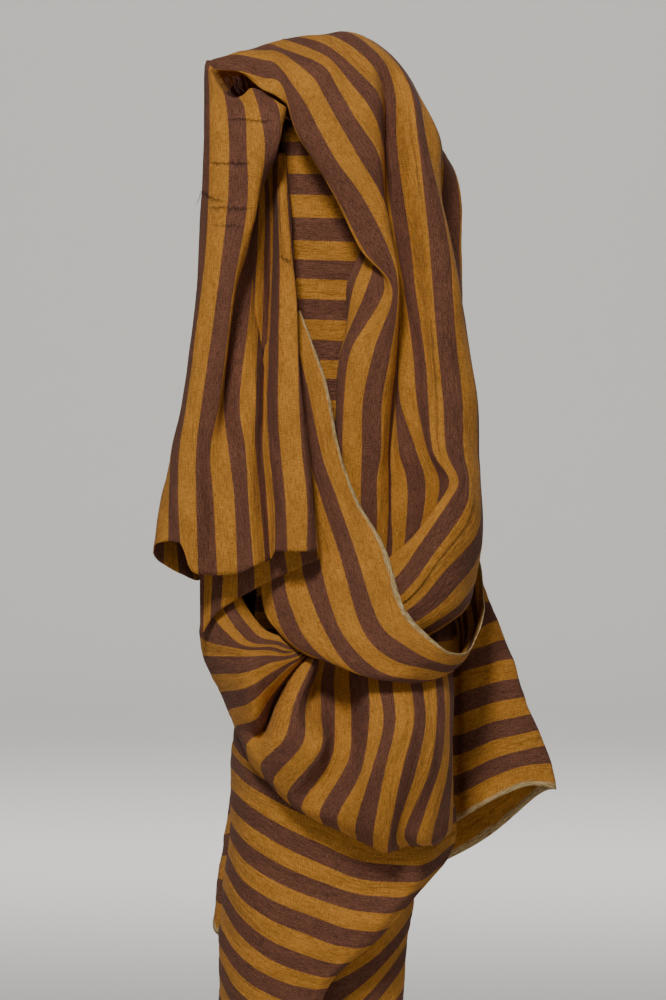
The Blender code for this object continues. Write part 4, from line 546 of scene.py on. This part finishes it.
# the same, each from (row, stripe) to (row, stripe), with its half width in stripes
creasesAlong = [
    ((24, 8.9), (28, 9.1), 0.14, 0.9),
    ((16.2, 7.1), (18.4, 7.3), 0.12, 0.5),
    ((20.2, 7.2), (23.6, 6.9), 0.12, 0.6),
]


def makeLinen():
    linen = bpy.data.materials.new("wovenLinen")
    linen.use_nodes = True
    tree = linen.node_tree
    shader = tree.nodes["Principled BSDF"]
    # in the cloth's UV map, across is the number of the stripe and up is the length along it, in stripes
    flat = addNode(tree, "ShaderNodeUVMap", {"uv_map": "cloth"}).outputs[0]
    across = addNode(tree, "ShaderNodeSeparateXYZ", links={0: flat}).outputs[0]

    def figure(kind, a, b=0.0, c=0.0):
        node = addNode(tree, "ShaderNodeMath", {"operation": kind})
        for socket, value in zip(node.inputs, (a, b, c)):
            if isinstance(value, bpy.types.NodeSocket):
                tree.links.new(value, socket)
            else:
                socket.default_value = value
        return node.outputs[0]

    def streaks(wide, long, detail, place, bend=0.0):
        # a noise whose grains are so wide and so long, in stripes
        moved = addNode(tree, "ShaderNodeMapping", links={"Vector": flat},
                        values={"Location": (place, place * 1.7, 0), "Scale": (1 / wide, 1 / long, 1)})
        return addNode(tree, "ShaderNodeTexNoise", {"noise_dimensions": "2D"}, {"Vector": moved.outputs[0]},
                       {"Scale": 1, "Detail": detail, "Roughness": 0.6, "Distortion": bend}).outputs["Fac"]

    def between(value, low, high, start=0.0, end=1.0):
        return addNode(tree, "ShaderNodeMapRange", {"interpolation_type": "SMOOTHSTEP"}, {"Value": value},
                       {"From Min": low, "From Max": high, "To Min": start, "To Max": end}).outputs[0]

    def blend(share, a, b):
        node = addNode(tree, "ShaderNodeMix", {"data_type": "RGBA"})
        for socket, value in ((node.inputs[0], share), (node.inputs[6], a), (node.inputs[7], b)):
            if isinstance(value, bpy.types.NodeSocket):
                tree.links.new(value, socket)
            else:
                socket.default_value = value
        return node.outputs[2]

    def crease(x, y, start, end, width, depth):
        # a thin pressed line from start to end, each (x, y), fading at both its ends
        rise = (end[1] - start[1]) / (end[0] - start[0])
        line = figure("MULTIPLY_ADD", x, rise, start[1] - rise * start[0])
        press = between(figure("ABSOLUTE", figure("SUBTRACT", y, line)), 0, width, depth, 0)
        fade = 0.3 * (end[0] - start[0])
        press = figure("MULTIPLY", press, between(x, start[0], start[0] + fade))
        return figure("MULTIPLY", press, between(x, end[0] - fade, end[0], 1, 0))

    yarn = linenFacts["yarnWidth"]
    warp = streaks(yarn, yarn * 9, 1, 3)
    weft = streaks(yarn * 8, yarn, 1, 11)
    fleck = streaks(yarn * 1.7, yarn * 1.7, 2, 8)
    patch = streaks(0.9, 1.6, 3, 5)
    crinkle = streaks(0.26, 1.3, 4, 17, 0.8)
    fold = streaks(0.75, 3.4, 2, 23, 0.4)

    # creases are placed by stripe and row of the tables, with a slight waver
    table = addNode(tree, "ShaderNodeUVMap", {"uv_map": "place"}).outputs[0]
    cells = addNode(tree, "ShaderNodeSeparateXYZ", links={0: table}).outputs
    column = figure("ADD", cells[0], between(crinkle, 0.2, 0.8, -0.05, 0.05))
    row = figure("ADD", cells[1], between(crinkle, 0.2, 0.8, -0.03, 0.03))
    presses = [crease(column, row, *line) for line in creasesAcross]
    presses += [crease(row, column, *line) for line in creasesAlong]
    pressedAndShaded = presses[0]
    for press in presses[1:]:
        pressedAndShaded = figure("ADD", pressedAndShaded, press)

    # the stripes' edges waver by the width of a yarn
    wavering = figure("ADD", across, between(weft, 0, 1, -0.02, 0.02))
    isPlum = between(figure("PINGPONG", wavering, 1), 0.48, 0.52, 1, 0)
    shade = linenFacts
    ochre = blend(between(warp, 0.34, 0.62), hexColor(shade["ochreShade"]), hexColor(shade["ochre"]))
    ochre = blend(between(weft, 0.5, 0.72), ochre, hexColor(shade["ochreFleck"]))
    plum = blend(between(warp, 0.34, 0.62), hexColor(shade["plumShade"]), hexColor(shade["plum"]))
    plum = blend(between(fleck, 0.5, 0.74), plum, hexColor(shade["plumFleck"]))
    selvedge = blend(between(warp, 0.35, 0.6), hexColor(shade["selvedgeShade"]), hexColor(shade["selvedge"]))
    nearSling = figure("MULTIPLY", between(across, -1, -0.9), between(across, 0.54, 0.58, 1, 0))
    nearFlap = figure("MULTIPLY", between(across, 299, 299.1), between(across, 300.6, 300.64, 1, 0))
    isPlum = figure("MULTIPLY", isPlum, figure("SUBTRACT", 1, figure("ADD", nearSling, nearFlap)))
    stripe = blend(isPlum, ochre, plum)
    # one selvedge is along stripe 0, and the other, on the flap, is just above stripe 300
    uneven = figure("ADD", wavering, between(patch, 0.3, 0.7, -0.05, 0.05))
    slingEdge = figure("MULTIPLY", between(uneven, -0.3, -0.2), between(uneven, 0.16, 0.3, 1, 0))
    flapEdge = figure("MULTIPLY", between(uneven, 299.9, 300), between(uneven, 300.42, 300.56, 1, 0))
    stripe = blend(figure("ADD", slingEdge, flapEdge), stripe, selvedge)
    toneAndShade = figure("ADD", between(patch, 0.3, 0.7, 0.84, 1.02), between(fleck, 0.3, 0.7, -0.06, 0.1))
    # the creases are also darkened in the colour, as painted shade
    toneAndShade = figure("SUBTRACT", toneAndShade, figure("MULTIPLY", pressedAndShaded, linenFacts["creasePaintedShade"]))
    toned = addNode(tree, "ShaderNodeHueSaturation", links={"Color": stripe, "Value": toneAndShade})
    tree.links.new(toned.outputs[0], shader.inputs["Base Color"])

    weave = figure("ADD", figure("MULTIPLY", warp, 0.6), figure("ADD", figure("MULTIPLY", weft, 0.6), fleck))
    soft = figure("ADD", crinkle, figure("MULTIPLY", fold, 1.6))
    soft = figure("SUBTRACT", soft, figure("MULTIPLY", pressedAndShaded, linenFacts["creaseDepth"]))
    crumpled = addNode(tree, "ShaderNodeBump", links={"Height": soft},
                       values={"Strength": 0.8, "Distance": linenFacts["crinkleDepth"]})
    woven = addNode(tree, "ShaderNodeBump", links={"Height": weave, "Normal": crumpled.outputs[0]},
                    values={"Strength": 0.7, "Distance": linenFacts["weaveDepth"]})
    tree.links.new(woven.outputs[0], shader.inputs["Normal"])
    rough = between(fleck, 0.2, 0.8, 0.78, 0.95)
    tree.links.new(rough, shader.inputs["Roughness"])
    shader.inputs["Specular IOR Level"].default_value = 0.25
    shader.inputs["Sheen Weight"].default_value = 0.03
    shader.inputs["Sheen Roughness"].default_value = 0.5
    return linen


linen = makeLinen()
print("linen made")

hoodFacts = {
    "stepsInStripe": 6,  # quads across a stripe
    "stepAlong": 0.42,  # in cm
    "thickness": 0.0009,  # in metres
    "seed": 20,
    "firstColor": 100,  # added to the stripes: an even sum is the middle of a plum stripe
    "firstPlace": 0,  # added to the stripes or columns where creases are placed
    "outwardSign": -1,  # the grid normals point inwards
    # the parts of the table that are cloth: rows from, rows to, stripes from, stripes to
    "parts": [(0, 40, -5.5, 13), (0, 6, -20, -5.5), (16, 24, 13, 19)],
    # across in stripes, lengthways in stripes, height in cm
    "swells": [(1.6, 3.5, 0.10), (0.5, 1.6, 0.05), (0.22, 0.9, 0.028)],
}
slingFacts = dict(hoodFacts, seed=40, firstColor=0, firstPlace=100, outwardSign=1, parts=[(0, 40, -1, 40)])
pouchFacts = dict(hoodFacts, seed=60, firstColor=101, firstPlace=200, outwardSign=1, parts=[(0, 40, -1, 40)])
wrapFacts = dict(hoodFacts, seed=80, firstColor=101, firstPlace=300, stepsInStripe=16)
wrapFacts["parts"] = [(0, 40, 0, 7), (6, 40, 7, 12)]
wrapFacts["rowStripes"] = [-34.5, -33.5, -28.3, -21.5, -16, -9, -1.6, 1, 3, 5, 7, 9, 11, 14, 18, 23]
flapFacts = dict(hoodFacts, seed=90, firstColor=300.2, firstPlace=400, stepsInStripe=5)
flapFacts["parts"] = [(0, 40, -1, 40)]

hood = makeCloth("hood", hoodRows, hoodFacts, linen)
sling = makeCloth("sling", slingRows, slingFacts, linen)
pouch = makeCloth("pouch", pouchRows, pouchFacts, linen)
wrap = makeCloth("wrap", wrapRows, wrapFacts, linen)
flap = makeCloth("flap", flapRows, flapFacts, linen)

threadFacts = {
    "thickness": 0.0004,  # in metres
    "seed": 7,
    "bow": 0.35,  # in cm, how far a thread bends aside
    # in cm: (x, y, z) where they start, how many, how far their starts spread in x and how far they
    # reach in x and z
    "tufts": [
        ((-9.9, -5.6, -4.9), 22, 1.1, 0.5, -1.7),
        ((-13.35, -6.6, -16.6), 3, 0.1, -0.5, -1.2),
        ((2.35, -11.1, -47.4), 1, 0, 0.8, -0.5),
        ((-15.1, -8.4, -47.2), 2, 0.2, -0.3, -0.6),
    ],
}


def makeThreads():
    # single flax threads that stand off the edges, coloured darker than the cloth: painted shade for the
    # shaded corner where most of them hang
    draw = np.random.default_rng(threadFacts["seed"])
    bend = threadFacts["bow"]
    curve = bpy.data.curves.new("threads", "CURVE")
    curve.dimensions = "3D"
    curve.bevel_depth = threadFacts["thickness"] / 2
    curve.bevel_resolution = 0
    curve.use_fill_caps = True
    for start, count, spread, sideways, down in threadFacts["tufts"]:
        for _ in range(count):
            place = np.array(start) + (draw.uniform(-spread, spread), draw.uniform(-0.3, 0.3), 0)
            reach = np.array((sideways, -0.3, down)) * draw.uniform(0.4, 1.1)
            bow = draw.uniform(-bend, bend, 3)
            spline = curve.splines.new("POLY")
            spline.points.add(8)
            for point, part in zip(spline.points, np.linspace(0, 1, 9)):
                at = place + reach * part + bow * np.sin(np.pi * part)
                point.co = (*(at * cm), 1)
    drawn = bpy.data.objects.new("drawnThreads", curve)
    bpy.context.scene.collection.objects.link(drawn)
    data = bpy.data.meshes.new_from_object(drawn.evaluated_get(bpy.context.evaluated_depsgraph_get()))
    bpy.data.objects.remove(drawn)
    threads = bpy.data.objects.new("threads", data)
    bpy.context.scene.collection.objects.link(threads)
    flax = bpy.data.materials.new("looseFlax")
    flax.use_nodes = True
    shader = flax.node_tree.nodes["Principled BSDF"]
    # the dark colour is painted shade, for the threads in the shaded corner
    shader.inputs["Base Color"].default_value = hexColor(linenFacts["plumShade"])
    shader.inputs["Roughness"].default_value = 0.85
    data.materials.clear()
    data.materials.append(flax)
    return threads


threads = makeThreads()
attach(threads, "root")
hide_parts("striped_linen")
print("loose threads made")

flatSizes = {  # stripes across times their length, in metres
    hood: (0.62, 1.1),
    sling: (0.15, 0.42),
    pouch: (0.5, 0.15),
    wrap: (0.9, 0.72),
    flap: (0.24, 0.75),
}
for piece, size in flatSizes.items():
    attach(piece, "root")
    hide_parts("striped_linen")

# The camera looks level along +Y at the front, from 6 m away.
cameraFacts = {
    "place": (-0.002, -6.09, -0.475),
    "lens": 216,  # on a 36 mm sensor: 1 m of height at 6 m
}
cameraData = bpy.data.cameras.new("camera")
cameraData.lens = cameraFacts["lens"]
cameraData.clip_end = 50
camera = bpy.data.objects.new("camera", cameraData)
camera.location = cameraFacts["place"]
camera.rotation_euler = (np.pi / 2, 0, 0)
bpy.context.scene.collection.objects.link(camera)
bpy.context.scene.camera = camera

# A pale floor that sweeps up far behind, so that it is also behind a camera at the back, and soft lights.
studioFacts = {
    "floorHeight": -1.34,
    "floorColor": "#D9D7D2",
    "worldColor": (1, 0.97, 0.93, 1),
    "worldStrength": 0.08,
    # name, place, target, sides, watts and colour
    "lights": [
        ("key", (-0.65, -3.25, 2.35), (0, 0, -0.5), (0.8, 0.9), 122, (1, 0.98, 0.94)),
        ("front", (0.5, -4.6, 0.3), (0, 0, -0.5), (2.2, 2.6), 9, (1, 0.98, 0.95)),
        ("rim", (1.4, 1.6, 0.9), (0, 0, -0.5), (1, 1), 9, (1, 1, 1)),
        ("back", (1.6, 8, 2.4), (0, 0, -0.5), (2, 2), 60, (1, 1, 1)),
        ("backdrop", (0, 7.5, 4.5), (0, 11, -1.3), (10, 3), 720, (1, 1, 1)),
    ],
}


def makeSweep():
    # a sheet of paper: its side view is a few points, rounded and drawn out sideways
    mesh = bmesh.new()
    low = studioFacts["floorHeight"]
    profile = [(-16, 0), (13, 0), (14, 0.2), (14.6, 0.7), (14.9, 1.4), (15, 2.4), (15, 6)]
    edge = [mesh.verts.new((-15, y, low + z)) for y, z in profile]
    line = [mesh.edges.new(pair) for pair in zip(edge, edge[1:])]
    made = bmesh.ops.extrude_edge_only(mesh, edges=line)
    moved = [item for item in made["geom"] if isinstance(item, bmesh.types.BMVert)]
    bmesh.ops.translate(mesh, verts=moved, vec=(30, 0, 0))
    for face in mesh.faces:
        face.smooth = True
    data = bpy.data.meshes.new("sweep")
    mesh.to_mesh(data)
    mesh.free()
    sweep = bpy.data.objects.new("sweep", data)
    bpy.context.scene.collection.objects.link(sweep)
    rounded = sweep.modifiers.new("rounded", "SUBSURF")
    rounded.levels = 2
    rounded.render_levels = 2
    paper = bpy.data.materials.new("paperSweep")
    paper.use_nodes = True
    shader = paper.node_tree.nodes["Principled BSDF"]
    shader.inputs["Base Color"].default_value = hexColor(studioFacts["floorColor"])
    shader.inputs["Roughness"].default_value = 0.9
    data.materials.append(paper)
    return sweep


def addLight(name, place, target, size, power, color):
    data = bpy.data.lights.new(name, "AREA")
    data.shape = "RECTANGLE"
    data.size, data.size_y = size
    data.energy = power
    data.color = color
    light = bpy.data.objects.new(name, data)
    light.location = place
    light.rotation_euler = (Vector(target) - Vector(place)).to_track_quat("-Z", "Y").to_euler()
    bpy.context.scene.collection.objects.link(light)
    return light


makeSweep()
for light in studioFacts["lights"]:
    addLight(*light)
world = bpy.data.worlds.new("studio")
world.use_nodes = True
world.node_tree.nodes["Background"].inputs["Color"].default_value = studioFacts["worldColor"]
world.node_tree.nodes["Background"].inputs["Strength"].default_value = studioFacts["worldStrength"]
bpy.context.scene.world = world
print("studio made")
